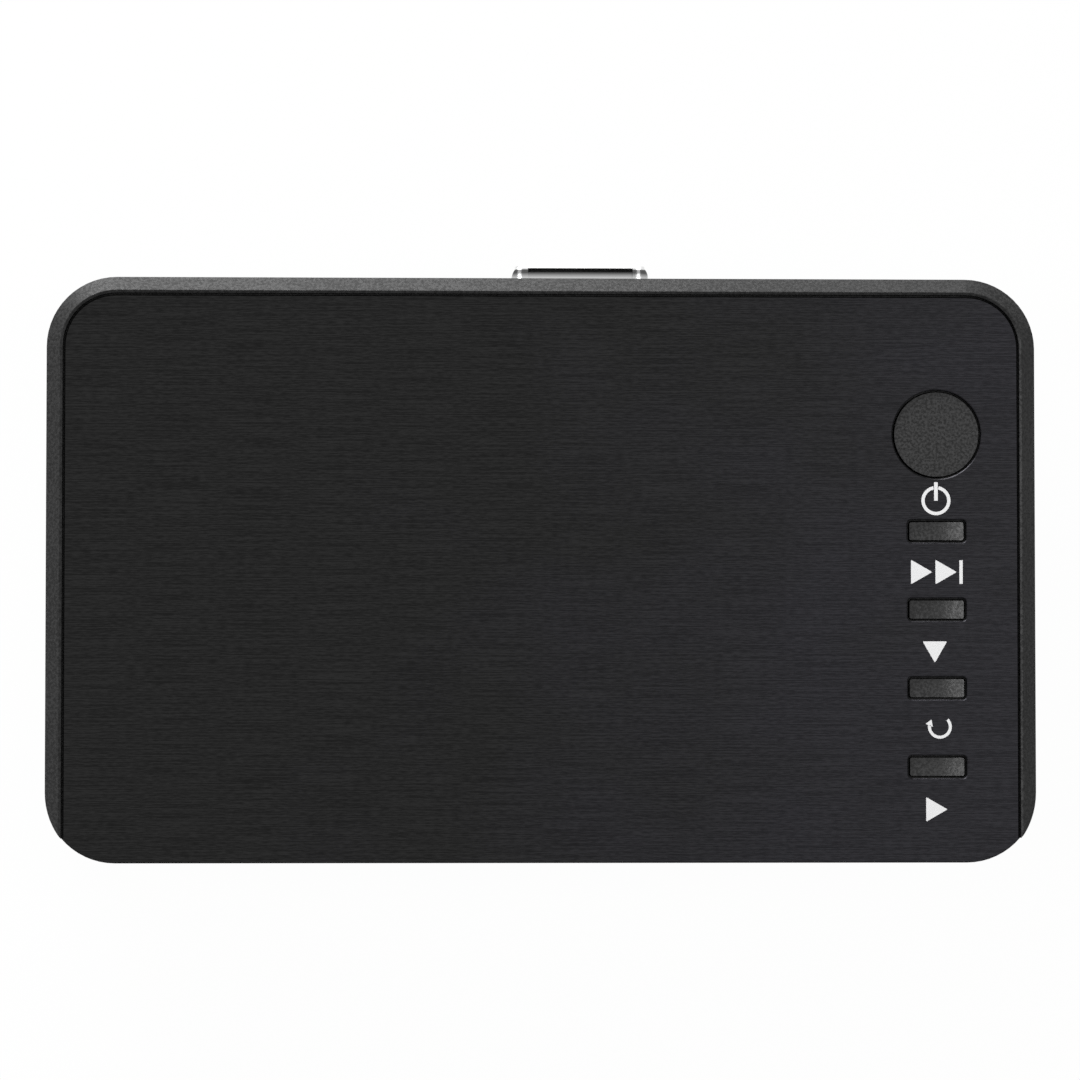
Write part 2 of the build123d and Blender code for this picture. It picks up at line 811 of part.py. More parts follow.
# Video socket: insulator with the tongue that the plug slides over
with BuildPart() as video_socket_tongue:
    with BuildSketch(facing_rear(video_x, video_back_y, video_z)) as block_section:
        video_outline(block_section, -fit_gap)
    extrude(amount=video_block_length)
    with BuildSketch(facing_rear(video_x, video_back_y + video_block_length, video_z)):
        Rectangle(video_tongue_width, video_tongue_thickness)
    extrude(amount=video_length - video_block_length - video_tongue_setback)
    for rise, count in video_rows:
        cut_contacts(
            video_back, rise, count, video_contact_pitch, video_contact_size, video_block_length
        )
save(video_socket_tongue, "video_socket_tongue")

# Video socket: two rows of contacts with their tails side by side on the board
with BuildPart() as video_socket_contacts:
    contact_reach = video_length - video_tongue_setback - tail_step
    for rise, count in video_rows:
        add_contacts(
            video_back,
            rise,
            count,
            video_contact_pitch,
            video_contact_size,
            contact_reach,
            (video_tail_width, 0),
            video_tail_length,
        )
save(video_socket_contacts, "video_socket_contacts")

# Serial-bus socket: folded shell with a flared mouth
with BuildPart() as bus_socket_shell:
    bus_mouth = facing_left(bus_mouth_x, case_y + bus_y, bus_z)
    with BuildSketch(bus_mouth):
        Rectangle(bus_mouth_width + 2 * bus_sheet, bus_mouth_height + 2 * bus_sheet)
    extrude(amount=-bus_length)
    with BuildSketch(bus_mouth):
        Rectangle(bus_outer_width, bus_outer_width - bus_mouth_width + bus_mouth_height)
    with BuildSketch(bus_mouth.offset(-bus_flare)):
        Rectangle(bus_mouth_width + 2 * bus_sheet, bus_mouth_height + 2 * bus_sheet)
    loft()
    with BuildSketch(bus_mouth):
        Rectangle(bus_mouth_width, bus_mouth_height)
    extrude(amount=-bus_length, mode=Mode.SUBTRACT)
    with BuildSketch(bus_mouth):
        Rectangle(bus_mouth_width + 2 * bus_flare, bus_mouth_height + 2 * bus_flare)
    with BuildSketch(bus_mouth.offset(-bus_flare)):
        Rectangle(bus_mouth_width, bus_mouth_height)
    loft(mode=Mode.SUBTRACT)
    with BuildSketch(
        Plane((bus_mouth_x + bus_tab_setback, case_y + bus_y, board_top + tail_bottom))
    ):
        with GridLocations(0, bus_mouth_width + bus_sheet, 1, 2):
            Rectangle(bus_tab_width, bus_sheet)
    extrude(amount=bus_z - board_top - tail_bottom)
save(bus_socket_shell, "bus_socket_shell")

bus_back = facing_left(bus_back_x, case_y + bus_y, board_top)
bus_contact_size = (bus_contact_width, bus_contact_thickness)
bus_tongue_drop = (bus_tongue_thickness + bus_contact_thickness) / 2
bus_rise = bus_z + bus_tongue_rise - bus_tongue_drop - board_top

# Serial-bus socket: insulator with its tongue in the upper half of the mouth
with BuildPart() as bus_socket_tongue:
    with BuildSketch(facing_left(bus_back_x, case_y + bus_y, bus_z)):
        Rectangle(bus_mouth_width - 2 * fit_gap, bus_mouth_height - 2 * fit_gap)
    extrude(amount=bus_block_length)
    with BuildSketch(facing_left(bus_back_x - bus_block_length, case_y + bus_y, bus_z)):
        with Locations((0, bus_tongue_rise)):
            Rectangle(bus_tongue_width, bus_tongue_thickness)
    extrude(amount=bus_length - bus_block_length - bus_tongue_setback)
    cut_contacts(
        bus_back, bus_rise, bus_contacts, bus_contact_pitch, bus_contact_size, bus_block_length
    )
save(bus_socket_tongue, "bus_socket_tongue")

# Serial-bus socket: four contacts under the tongue, with tails through the board
with BuildPart() as bus_socket_contacts:
    add_contacts(
        bus_back,
        bus_rise,
        bus_contacts,
        bus_contact_pitch,
        bus_contact_size,
        bus_length - bus_tongue_setback - tail_step,
        (bus_tail_width, tail_bottom),
        0,
    )
save(bus_socket_contacts, "bus_socket_contacts")

card_back_plane = facing_left(card_back_x, case_y + card_y, board_top)
card_contact_size = (card_contact_width, card_contact_thickness)
card_contact_rise = card_floor + card_contact_thickness / 2

# Memory-card socket: base with two rails and a back
with BuildPart() as card_socket_base:
    with BuildSketch(facing_left(card_mouth_x, case_y + card_y, board_top)):
        with Locations((0, card_height / 2)):
            Rectangle(card_width, card_height)
    extrude(amount=-card_length)
    with BuildSketch(facing_left(card_mouth_x, case_y + card_y, card_z)):
        Rectangle(card_slot_width, card_slot_height)
    extrude(amount=card_back - card_length, mode=Mode.SUBTRACT)
    cut_contacts(
        card_back_plane,
        card_contact_rise,
        card_contacts,
        card_contact_pitch,
        card_contact_size,
        card_back,
    )
save(card_socket_base, "card_socket_base")

# Memory-card socket: sheet cover, folded down over the rails, with two spring windows
with BuildPart() as card_socket_cover:
    cover_height = card_height + card_sheet - card_skirt_gap
    with BuildSketch(facing_left(card_mouth_x, case_y + card_y, board_top)):
        with Locations((0, card_skirt_gap + cover_height / 2)):
            Rectangle(card_cover_width, cover_height)
        with Locations((0, card_height / 2)):
            Rectangle(card_width, card_height, mode=Mode.SUBTRACT)
    extrude(amount=-card_length)
    with BuildSketch(Plane((card_mouth_x + card_length / 2, case_y + card_y, board_top))):
        with GridLocations(0, card_slot_width / 2, 1, 2):
            SlotOverall(card_window_length, card_window_width)
    extrude(amount=card_height + card_sheet, mode=Mode.SUBTRACT)
save(card_socket_cover, "card_socket_cover")

# Memory-card socket: nine contacts on its floor
with BuildPart() as card_socket_contacts:
    add_contacts(
        card_back_plane,
        card_contact_rise,
        card_contacts,
        card_contact_pitch,
        card_contact_size,
        card_back + card_contact_length,
        (card_tail_width, 0),
        card_tail_length,
    )
save(card_socket_contacts, "card_socket_contacts")

# Audio-video jack: body with a collar in the rear wall and a pocket for each leaf
with BuildPart() as av_jack_body:
    with BuildSketch(facing_rear(av_x, jack_body_y, av_z)):
        Rectangle(av_body_width, av_body_height)
    extrude(amount=av_back_y - jack_body_y)
    with BuildSketch(facing_rear(av_x, jack_body_y, av_z)):
        Circle(av_collar_radius)
    extrude(amount=jack_face_y - jack_body_y)
    with BuildSketch(facing_rear(av_x, jack_face_y, av_z)):
        Circle(av_bore_radius)
    extrude(amount=-av_bore_length, mode=Mode.SUBTRACT)
    # Each pocket opens a little into the bore, where its leaf touches the plug
    pocket_side = av_body_width / 2 - av_bore_radius + jack_leaf_window
    pocket_height = av_body_height / 2 + av_leaf_rise + jack_leaf_gap
    av_leaf_y = jack_body_y - av_leaf_setback
    with BuildSketch(Plane((av_x, av_leaf_y - av_leaf_pitch / 2, board_top))):
        with GridLocations(av_body_width - pocket_side, av_leaf_pitch, 2, 2):
            Rectangle(pocket_side, jack_leaf_width + 2 * jack_leaf_gap)
    extrude(amount=pocket_height, mode=Mode.SUBTRACT)
save(av_jack_body, "av_jack_body")

# Audio-video jack: four leaf contacts whose feet lie on the board
with BuildPart() as av_jack_contacts:
    leaf_x = av_bore_radius + jack_leaf_gap + jack_leaf_thickness / 2
    with BuildSketch(Plane((av_x, av_leaf_y - av_leaf_pitch / 2, board_top))):
        with GridLocations(2 * leaf_x, av_leaf_pitch, 2, 2):
            Rectangle(jack_leaf_thickness, jack_leaf_width)
    extrude(amount=av_body_height / 2 + av_leaf_rise)
    leaf_inner = av_bore_radius + jack_leaf_gap
    leaf_foot = av_body_width / 2 + jack_leaf_reach - leaf_inner
    with BuildSketch(Plane((av_x, av_leaf_y - av_leaf_pitch / 2, board_top))):
        with GridLocations(2 * leaf_inner + leaf_foot, av_leaf_pitch, 2, 2):
            Rectangle(leaf_foot, jack_leaf_width)
    extrude(amount=jack_leaf_thickness)
save(av_jack_contacts, "av_jack_contacts")

# Power jack: body with a collar in the rear wall
with BuildPart() as dc_jack_body:
    with BuildSketch(facing_rear(dc_x, jack_body_y, dc_z)):
        Rectangle(dc_body_width, dc_body_height)
    extrude(amount=dc_back_y - jack_body_y)
    with BuildSketch(facing_rear(dc_x, jack_body_y, dc_z)):
        Circle(dc_collar_radius)
    extrude(amount=jack_face_y - jack_body_y)
    with BuildSketch(facing_rear(dc_x, jack_face_y, dc_z)):
        Circle(dc_bore_radius)
    extrude(amount=-dc_bore_length, mode=Mode.SUBTRACT)
    with BuildSketch(facing_rear(dc_x, dc_back_y, dc_z)):
        Circle(dc_pin_shank_radius + fit_gap)
    extrude(amount=dc_end, mode=Mode.SUBTRACT)
    # Groove under the bore for the spring, and the slot that its tail leaves by
    groove_low = dc_spring_rise - jack_leaf_thickness / 2
    with BuildSketch(facing_rear(dc_x, dc_spring_y, dc_z)):
        with Locations((0, groove_low / 2)):
            Rectangle(jack_leaf_width + 2 * jack_leaf_gap, -groove_low)
    extrude(amount=-dc_spring_length - jack_leaf_gap, mode=Mode.SUBTRACT)
    with BuildSketch(Plane((dc_x, dc_spring_y - dc_spring_length, board_top))):
        with Locations((0, jack_leaf_thickness / 2)):
            Rectangle(jack_leaf_width + 2 * jack_leaf_gap, jack_leaf_thickness + 2 * jack_leaf_gap)
    extrude(amount=dc_body_height / 2 - dc_bore_radius, mode=Mode.SUBTRACT)
save(dc_jack_body, "dc_jack_body")

# Power jack: centre pin on a thicker shank, headed behind the body, with a blade through the board
with BuildPart() as dc_jack_pin:
    with BuildSketch(facing_rear(dc_x, dc_bore_end_y, dc_z)):
        Circle(dc_pin_radius)
    extrude(amount=dc_bore_length - dc_pin_setback)
    chamfer(dc_jack_pin.faces().sort_by(Axis.Y)[-1].edges(), dc_pin_point)
    with BuildSketch(facing_rear(dc_x, dc_back_y, dc_z)):
        Circle(dc_pin_shank_radius)
    extrude(amount=dc_end)
    with BuildSketch(facing_rear(dc_x, dc_back_y, dc_z)):
        Circle(dc_pin_head_radius)
        blade = dc_z - board_top - tail_bottom
        with Locations((0, -blade / 2)):
            Rectangle(jack_leaf_width, blade)
    extrude(amount=-jack_leaf_thickness)
save(dc_jack_pin, "dc_jack_pin")

# Power jack: leaf spring under the plug, with a tail through the board
with BuildPart() as dc_jack_spring:
    with BuildSketch(facing_rear(dc_x, dc_spring_y, dc_z)):
        with Locations((0, dc_spring_rise)):
            Rectangle(jack_leaf_width, jack_leaf_thickness)
    extrude(amount=-dc_spring_length)
    with BuildSketch(Plane((dc_x, dc_spring_y - dc_spring_length, board_top + tail_bottom))):
        with Locations((0, jack_leaf_thickness / 2)):
            Rectangle(jack_leaf_width, jack_leaf_thickness)
    extrude(amount=dc_z + dc_spring_rise - board_top - tail_bottom)
save(dc_jack_spring, "dc_jack_spring")


def key_plane(name, z):
    """Horizontal plane at height z over the named key's middle."""
    return Plane((key_x, case_y + key_ys[name], z))


def finish_key(key, name):
    """Writes a key after its upper edge is rounded."""
    fillet(key.faces().sort_by(Axis.Z)[-1].edges(), key_edge)
    save(key, f"{name}_key")


def make_power_key():
    """Round flat key with a flange that the guide sleeve stops."""
    with BuildPart() as key:
        with BuildSketch(key_plane("power", key_seat)):
            Circle(power_key_radius)
        extrude(amount=key_top - key_seat)
        with BuildSketch(key_plane("power", key_seat)):
            Circle(power_key_radius + key_flange)
        extrude(amount=key_flange_thickness)
    finish_key(key, "power")


def make_bar_key(name):
    """Bar key, crowned along its length, with a flange that the guide sleeve stops."""
    crown_radius = (bar_key_length**2 / 4 + key_crown**2) / (2 * key_crown)
    with BuildPart() as key:
        with BuildSketch(key_plane(name, key_seat)):
            RectangleRounded(bar_key_length, bar_key_width, bar_key_corner)
        extrude(amount=key_top - key_seat)
        with BuildSketch(key_plane(name, key_seat)):
            flange_length = bar_key_length + 2 * key_flange
            flange_width = bar_key_width + 2 * key_flange
            RectangleRounded(flange_length, flange_width, bar_key_corner)
        extrude(amount=key_flange_thickness)
        with BuildSketch(facing_front(key_x, case_y + key_ys[name], key_top - crown_radius)):
            Circle(crown_radius)
        extrude(amount=bar_key_width, both=True, mode=Mode.INTERSECT)
    finish_key(key, name)


def make_switch_base(name):
    """Moulded base with a round well for the snap disc and the stem's foot."""
    with BuildPart() as base:
        with BuildSketch(key_plane(name, board_top)):
            Rectangle(switch_side, switch_side)
        extrude(amount=switch_body_height - switch_sheet)
        with BuildSketch(key_plane(name, well_floor)):
            Circle(dome_radius + dome_gap)
        extrude(amount=switch_body_height, mode=Mode.SUBTRACT)
    save(base, f"{name}_switch_base")


def make_switch_cover(name):
    """Sheet cover with a hole for the stem and two clips folded down over the base."""
    with BuildPart() as cover:
        with BuildSketch(key_plane(name, switch_top - switch_sheet)):
            Rectangle(switch_side, switch_side)
            with GridLocations(0, switch_side + switch_sheet, 1, 2):
                Rectangle(switch_clip_width, switch_sheet)
            Circle(switch_stem_radius + switch_bore_gap, mode=Mode.SUBTRACT)
        extrude(amount=switch_sheet)
        with BuildSketch(key_plane(name, switch_top)):
            with GridLocations(0, switch_side + switch_sheet, 1, 2):
                Rectangle(switch_clip_width, switch_sheet)
        extrude(amount=-switch_clip_length)
    save(cover, f"{name}_switch_cover")


def make_switch_stem(name):
    """Round stem whose foot is held under the cover."""
    with BuildPart() as stem:
        with BuildSketch(key_plane(name, stem_bottom)):
            Circle(switch_foot_radius)
        extrude(amount=switch_foot_thickness)
        with BuildSketch(key_plane(name, stem_bottom)):
            Circle(switch_stem_radius)
        extrude(amount=key_seat - stem_bottom)
    save(stem, f"{name}_switch_stem")


switch_top = board_top + switch_body_height
stem_bottom = switch_top - switch_sheet - switch_foot_thickness
well_floor = stem_bottom - key_travel - dome_gap - dome_height

make_power_key()
for key_name in key_names[1:]:
    make_bar_key(key_name)
for key_name in key_names:
    make_switch_base(key_name)
    make_switch_cover(key_name)
    make_switch_stem(key_name)

# Snap discs, one in each switch: a thin shallow cone with a flat top
with BuildPart() as switch_domes:
    for key_name in key_names:
        centre_y = case_y + key_ys[key_name]
        with BuildSketch(facing_front(key_x, centre_y, well_floor)):
            Polygon(
                (0, dome_height - dome_thickness),
                (dome_top_radius, dome_height - dome_thickness),
                (dome_radius, 0),
                (dome_radius, dome_thickness),
                (dome_top_radius, dome_height),
                (0, dome_height),
                align=None,
            )
        revolve(axis=Axis((key_x, centre_y, well_floor), (0, 0, 1)))
save(switch_domes, "switch_domes")

# Four bent legs on each switch
with BuildPart() as switch_terminals:
    for key_name in key_names:
        shoulder_x = (switch_side + terminal_shoulder) / 2
        with BuildSketch(key_plane(key_name, board_top + terminal_rise - terminal_thickness)):
            with GridLocations(2 * shoulder_x, terminal_spacing, 2, 2):
                Rectangle(terminal_shoulder, terminal_width)
        extrude(amount=terminal_thickness)
        drop_x = switch_side / 2 + terminal_shoulder - terminal_thickness / 2
        with BuildSketch(key_plane(key_name, board_top)):
            with GridLocations(2 * drop_x, terminal_spacing, 2, 2):
                Rectangle(terminal_thickness, terminal_width)
        extrude(amount=terminal_rise)
        leg_foot = terminal_reach - terminal_shoulder + terminal_thickness
        foot_middle_x = switch_side / 2 + terminal_reach - leg_foot / 2
        with BuildSketch(key_plane(key_name, board_top)):
            with GridLocations(2 * foot_middle_x, terminal_spacing, 2, 2):
                Rectangle(leg_foot, terminal_width)
        extrude(amount=terminal_thickness)
save(switch_terminals, "switch_terminals")

# Smoked window in the front wall, with a flange behind the wall
with BuildPart() as remote_window:
    with BuildSketch(facing_front(window_x, front_y, window_z)):
        window_face_width = window_width - 2 * window_gap
        window_face_height = window_height - 2 * window_gap
        RectangleRounded(window_face_width, window_face_height, window_corner - window_gap)
    extrude(amount=-wall)
    with BuildSketch(facing_front(window_x, inner_front_y, window_z)):
        flange_width = window_width + 2 * window_flange
        flange_height = window_height + 2 * window_flange
        RectangleRounded(flange_width, flange_height, window_corner + window_flange)
    extrude(amount=-window_flange_thickness)
save(remote_window, "remote_window")

# Remote-control receiver with its lens towards the window, raised on its leads
with BuildPart() as remote_receiver:
    with BuildSketch(facing_front(receiver_x, receiver_y, window_z)):
        Rectangle(receiver_width, receiver_height)
    extrude(amount=-receiver_thickness)
    with Locations((receiver_x, receiver_y, window_z)):
        Sphere(receiver_lens_radius)
    with BuildSketch(Plane((receiver_x, receiver_lead_y, board_top + tail_bottom))):
        with GridLocations(lead_pitch, 0, receiver_leads, 1):
            Rectangle(lead_side, lead_side)
    extrude(amount=window_z - receiver_height / 2 - board_top - tail_bottom)
save(remote_receiver, "remote_receiver")

# Status lamp: round lens with a domed end and a flange, on leads bent down to the board
with BuildPart() as status_lamp:
    with BuildSketch(facing_front(lamp_x, lamp_y + lamp_length, window_z)):
        Circle(lamp_radius)
    extrude(amount=lamp_length - lamp_radius)
    with Locations((lamp_x, lamp_y + lamp_radius, window_z)):
        Sphere(lamp_radius)
    with BuildSketch(facing_front(lamp_x, lamp_y + lamp_length, window_z)):
        Circle(lamp_flange_radius)
    extrude(amount=lamp_flange_thickness)
    with BuildSketch(facing_front(lamp_x, lamp_y + lamp_length, window_z)):
        with GridLocations(lead_pitch, 0, lamp_leads, 1):
            Rectangle(lead_side, lead_side)
    extrude(amount=-lead_bend - lead_side / 2)
    with BuildSketch(Plane((lamp_x, lamp_lead_y, board_top + tail_bottom))):
        with GridLocations(lead_pitch, 0, lamp_leads, 1):
            Rectangle(lead_side, lead_side)
    extrude(amount=window_z + lead_side / 2 - board_top - tail_bottom)
save(status_lamp, "status_lamp")

# Processor, the soft pad on it, and the finned heat sink on the pad
with BuildPart() as processor:
    with BuildSketch(Plane((processor_x, case_y + processor_y, board_top))):
        Rectangle(processor_side, processor_side)
    extrude(amount=processor_thickness)
save(processor, "processor")

with BuildPart() as thermal_pad:
    with BuildSketch(Plane((processor_x, case_y + processor_y, sink_z - pad_thickness))):
        Rectangle(processor_side - 2 * pad_inset, processor_side - 2 * pad_inset)
    extrude(amount=pad_thickness)
save(thermal_pad, "thermal_pad")

with BuildPart() as heat_sink:
    with BuildSketch(Plane((processor_x, case_y + processor_y, sink_z))):
        Rectangle(sink_side, sink_side)
    extrude(amount=sink_base)
    with BuildSketch(Plane((processor_x, case_y + processor_y, sink_z))):
        with GridLocations((sink_side - sink_fin_thickness) / (sink_fins - 1), 0, sink_fins, 1):
            Rectangle(sink_fin_thickness, sink_side)
    extrude(amount=sink_height)
save(heat_sink, "heat_sink")

with BuildPart() as memory_chip:
    with BuildSketch(Plane((memory_x, case_y + memory_y, board_top))):
        Rectangle(memory_width, memory_length)
    extrude(amount=memory_thickness)
save(memory_chip, "memory_chip")

# Flash chip on eight bent legs
with BuildPart() as flash_chip:
    leg_clear = terminal_thickness / 2
    flash_plane = Plane((processor_x, case_y + flash_y, board_top))
    with BuildSketch(flash_plane.offset(leg_clear)):
        Rectangle(flash_side, flash_side)
    extrude(amount=flash_thickness)
    with BuildSketch(flash_plane.offset(flash_leg_rise - terminal_thickness)):
        with GridLocations(0, flash_leg_pitch, 1, flash_legs):
            Rectangle(flash_side + 2 * terminal_shoulder, flash_leg_width)
    extrude(amount=terminal_thickness)
    with BuildSketch(flash_plane):
        flash_drop_x = flash_side / 2 + terminal_shoulder - terminal_thickness / 2
        with GridLocations(2 * flash_drop_x, flash_leg_pitch, 2, flash_legs):
            Rectangle(terminal_thickness, flash_leg_width)
    extrude(amount=flash_leg_rise)
    with BuildSketch(flash_plane):
        flash_foot_x = flash_side / 2 + terminal_reach - leg_foot / 2
        with GridLocations(2 * flash_foot_x, flash_leg_pitch, 2, flash_legs):
            Rectangle(leg_foot, flash_leg_width)
    extrude(amount=terminal_thickness)
save(flash_chip, "flash_chip")

# Crystal in an oval can on a wider rim
with BuildPart() as crystal_can:
    crystal_plane = Plane((crystal_x, case_y + crystal_y, board_top))
    with BuildSketch(crystal_plane):
        SlotOverall(crystal_length + 2 * crystal_rim, crystal_width + 2 * crystal_rim, rotation=90)
    extrude(amount=crystal_rim_height)
    with BuildSketch(crystal_plane):
        SlotOverall(crystal_length, crystal_width, rotation=90)
    extrude(amount=crystal_height)
    chamfer(crystal_can.faces().sort_by(Axis.Z)[-1].edges(), crystal_rim)
save(crystal_can, "crystal_can")

with BuildPart() as coil:
    with BuildSketch(Plane((coil_x, case_y + coil_y, board_top))):
        RectangleRounded(coil_side, coil_side, coil_corner)
    extrude(amount=coil_height)
    chamfer(coil.faces().sort_by(Axis.Z)[-1].edges(), coil_edge)
save(coil, "coil")

# Two can capacitors on square bases with two cut corners each
with BuildPart() as capacitor_bases:
    with BuildSketch(Plane((can_x, can_y, board_top))) as can_base_plan:
        with GridLocations(can_pitch, 0, 2, 1):
            Rectangle(can_base_side, can_base_side)
        chamfer(can_base_plan.vertices().group_by(Axis.Y)[-1], can_base_cut)
    extrude(amount=can_base_thickness)
save(capacitor_bases, "capacitor_bases")

with BuildPart() as capacitor_cans:
    with BuildSketch(Plane((can_x, can_y, board_top + can_base_thickness))):
        with GridLocations(can_pitch, 0, 2, 1):
            Circle(can_radius)
    extrude(amount=can_height)
    chamfer(capacitor_cans.faces().group_by(Axis.Z)[-1].edges(), can_edge)
save(capacitor_cans, "capacitor_cans")

# Small resistors and capacitors in rows
with BuildPart() as small_chips:
    with BuildSketch(Plane((chips_x, case_y + chips_y, board_top))):
        with GridLocations(chip_pitch_x, chip_pitch_y, chip_columns, chip_rows):
            Rectangle(chip_length, chip_width)
    extrude(amount=chip_height)
save(small_chips, "small_chips")
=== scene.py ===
"""Blender add-on: finishes, printed symbols and studio for a pocket media player."""

from math import cos, pi, radians, sin

import bmesh
import bpy
import numpy as np
from mathutils import Euler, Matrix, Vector


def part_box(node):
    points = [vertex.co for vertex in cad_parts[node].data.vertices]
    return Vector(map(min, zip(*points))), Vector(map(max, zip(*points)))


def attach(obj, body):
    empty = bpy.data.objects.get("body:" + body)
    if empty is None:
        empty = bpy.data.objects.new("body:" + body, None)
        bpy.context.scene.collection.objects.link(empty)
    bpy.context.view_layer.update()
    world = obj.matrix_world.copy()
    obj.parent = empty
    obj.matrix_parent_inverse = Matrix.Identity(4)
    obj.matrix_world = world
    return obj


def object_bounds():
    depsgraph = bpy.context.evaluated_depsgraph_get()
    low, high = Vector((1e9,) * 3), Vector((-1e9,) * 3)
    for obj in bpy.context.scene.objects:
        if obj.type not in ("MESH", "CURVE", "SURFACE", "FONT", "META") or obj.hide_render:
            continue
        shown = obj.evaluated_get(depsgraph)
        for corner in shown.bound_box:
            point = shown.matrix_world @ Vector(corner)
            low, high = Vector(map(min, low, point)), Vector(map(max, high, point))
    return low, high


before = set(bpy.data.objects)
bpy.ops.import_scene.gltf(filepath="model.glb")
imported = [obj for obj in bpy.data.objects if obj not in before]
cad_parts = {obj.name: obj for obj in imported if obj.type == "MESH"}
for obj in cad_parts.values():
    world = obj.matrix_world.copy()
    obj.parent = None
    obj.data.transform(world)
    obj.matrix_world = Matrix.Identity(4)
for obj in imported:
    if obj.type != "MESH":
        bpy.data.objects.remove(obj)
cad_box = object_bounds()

bl_info = {
    "name": "Pocket media player",
    "version": (1, 0, 0),
    "blender": (4, 5, 0),
    "location": "View3D > Sidebar > Player",
    "description": "Finishes, printed symbols and studio for a pocket media player",
    "category": "Object",
}

MM = 0.001
KEY_NAMES = ("power", "next", "down", "return", "play")
ARC_POINTS = 49
CORNER_POINTS = 6
MERGE_DISTANCE = 1e-8  # metres: joins only points that are the same
FLOOR_RADIUS = 3.0
FLOOR_SIDES = 96


class PlayerFinish(bpy.types.PropertyGroup):
    """Colours and textures of the player's surfaces."""

    case_colour: bpy.props.FloatVectorProperty(
        name="Case", description="Colour of the moulded halves", subtype="COLOR",
        default=(0.0150, 0.0150, 0.0151), min=0, max=1)
    key_colour: bpy.props.FloatVectorProperty(
        name="Keys", description="Colour of the keys", subtype="COLOR",
        default=(0.0210, 0.0210, 0.0212), min=0, max=1)
    plate_colour: bpy.props.FloatVectorProperty(
        name="Plate", description="Colour of the brushed plate", subtype="COLOR",
        default=(0.0159, 0.0159, 0.0159), min=0, max=1)
    # The plate turns towards this colour in its random patches and also in its painted light
    # gradient to the right and the front.
    film_and_painted_light_colour: bpy.props.FloatVectorProperty(
        name="Plate's film and painted light", description="Colour of the brushed plate where its film is thickest",
        subtype="COLOR", default=(0.0195, 0.0192, 0.0217), min=0, max=1)
    ink_colour: bpy.props.FloatVectorProperty(
        name="Ink", description="Colour of the printed symbols", subtype="COLOR",
        default=(0.80, 0.80, 0.805), min=0, max=1)
    board_colour: bpy.props.FloatVectorProperty(
        name="Board", description="Colour of the board's solder resist", subtype="COLOR",
        default=(0.008, 0.060, 0.026), min=0, max=1)
    grain_size: bpy.props.FloatProperty(
        name="Grain", description="Width of a pit in the moulded grain", unit="LENGTH",
        default=0.30 * MM, min=0.01 * MM, precision=5)
    grain_depth: bpy.props.FloatProperty(
        name="Grain depth", description="Depth of the moulded grain", unit="LENGTH",
        default=0.012 * MM, min=0, precision=6)
    hairline_width: bpy.props.FloatProperty(
        name="Hairline width", description="Width of a brushed hairline", unit="LENGTH",
        default=0.125 * MM, min=0.01 * MM, precision=5)
    hairline_length: bpy.props.FloatProperty(
        name="Hairline length", description="Length of a long brushed hairline", unit="LENGTH",
        default=9.0 * MM, min=0.1 * MM, precision=4)
    dash_length: bpy.props.FloatProperty(
        name="Dash length", description="Length of a short brushed hairline", unit="LENGTH",
        default=1.0 * MM, min=0.1 * MM, precision=4)


class PlayerSymbols(bpy.types.PropertyGroup):
    """Sizes of the symbols that are printed beside the keys."""

    ink_height: bpy.props.FloatProperty(
        name="Ink height", description="How far the ink stands up", unit="LENGTH",
        default=0.02 * MM, min=0.001 * MM, precision=6)
    below_power_key: bpy.props.FloatProperty(
        name="Below round key", description="From the round key's middle to its symbol",
        unit="LENGTH", default=7.38 * MM, precision=4)
    below_bar_key: bpy.props.FloatProperty(
        name="Below bar key", description="From a bar key's middle to its symbol",
        unit="LENGTH", default=4.62 * MM, precision=4)
    ring_radius: bpy.props.FloatProperty(
        name="Power ring", description="Middle radius of the power symbol's ring",
        unit="LENGTH", default=1.44 * MM, precision=4)
    ring_stroke: bpy.props.FloatProperty(
        name="Power stroke", description="Width of the power symbol's lines",
        unit="LENGTH", default=0.37 * MM, precision=4)
    turn_radius: bpy.props.FloatProperty(
        name="Return ring", description="Middle radius of the return symbol's arc",
        unit="LENGTH", default=1.161 * MM, precision=4)
    turn_stroke: bpy.props.FloatProperty(
        name="Return stroke", description="Width of the return symbol's arc",
        unit="LENGTH", default=0.33 * MM, precision=4)
    triangle_base: bpy.props.FloatProperty(
        name="Triangle base", description="Base of a triangle", unit="LENGTH",
        default=2.72 * MM, precision=4)
    triangle_reach: bpy.props.FloatProperty(
        name="Triangle reach", description="From a triangle's base to its tip",
        unit="LENGTH", default=2.37 * MM, precision=4)
    corner: bpy.props.FloatProperty(
        name="Corner", description="Radius of a triangle's corners", unit="LENGTH",
        default=0.07 * MM, precision=4)


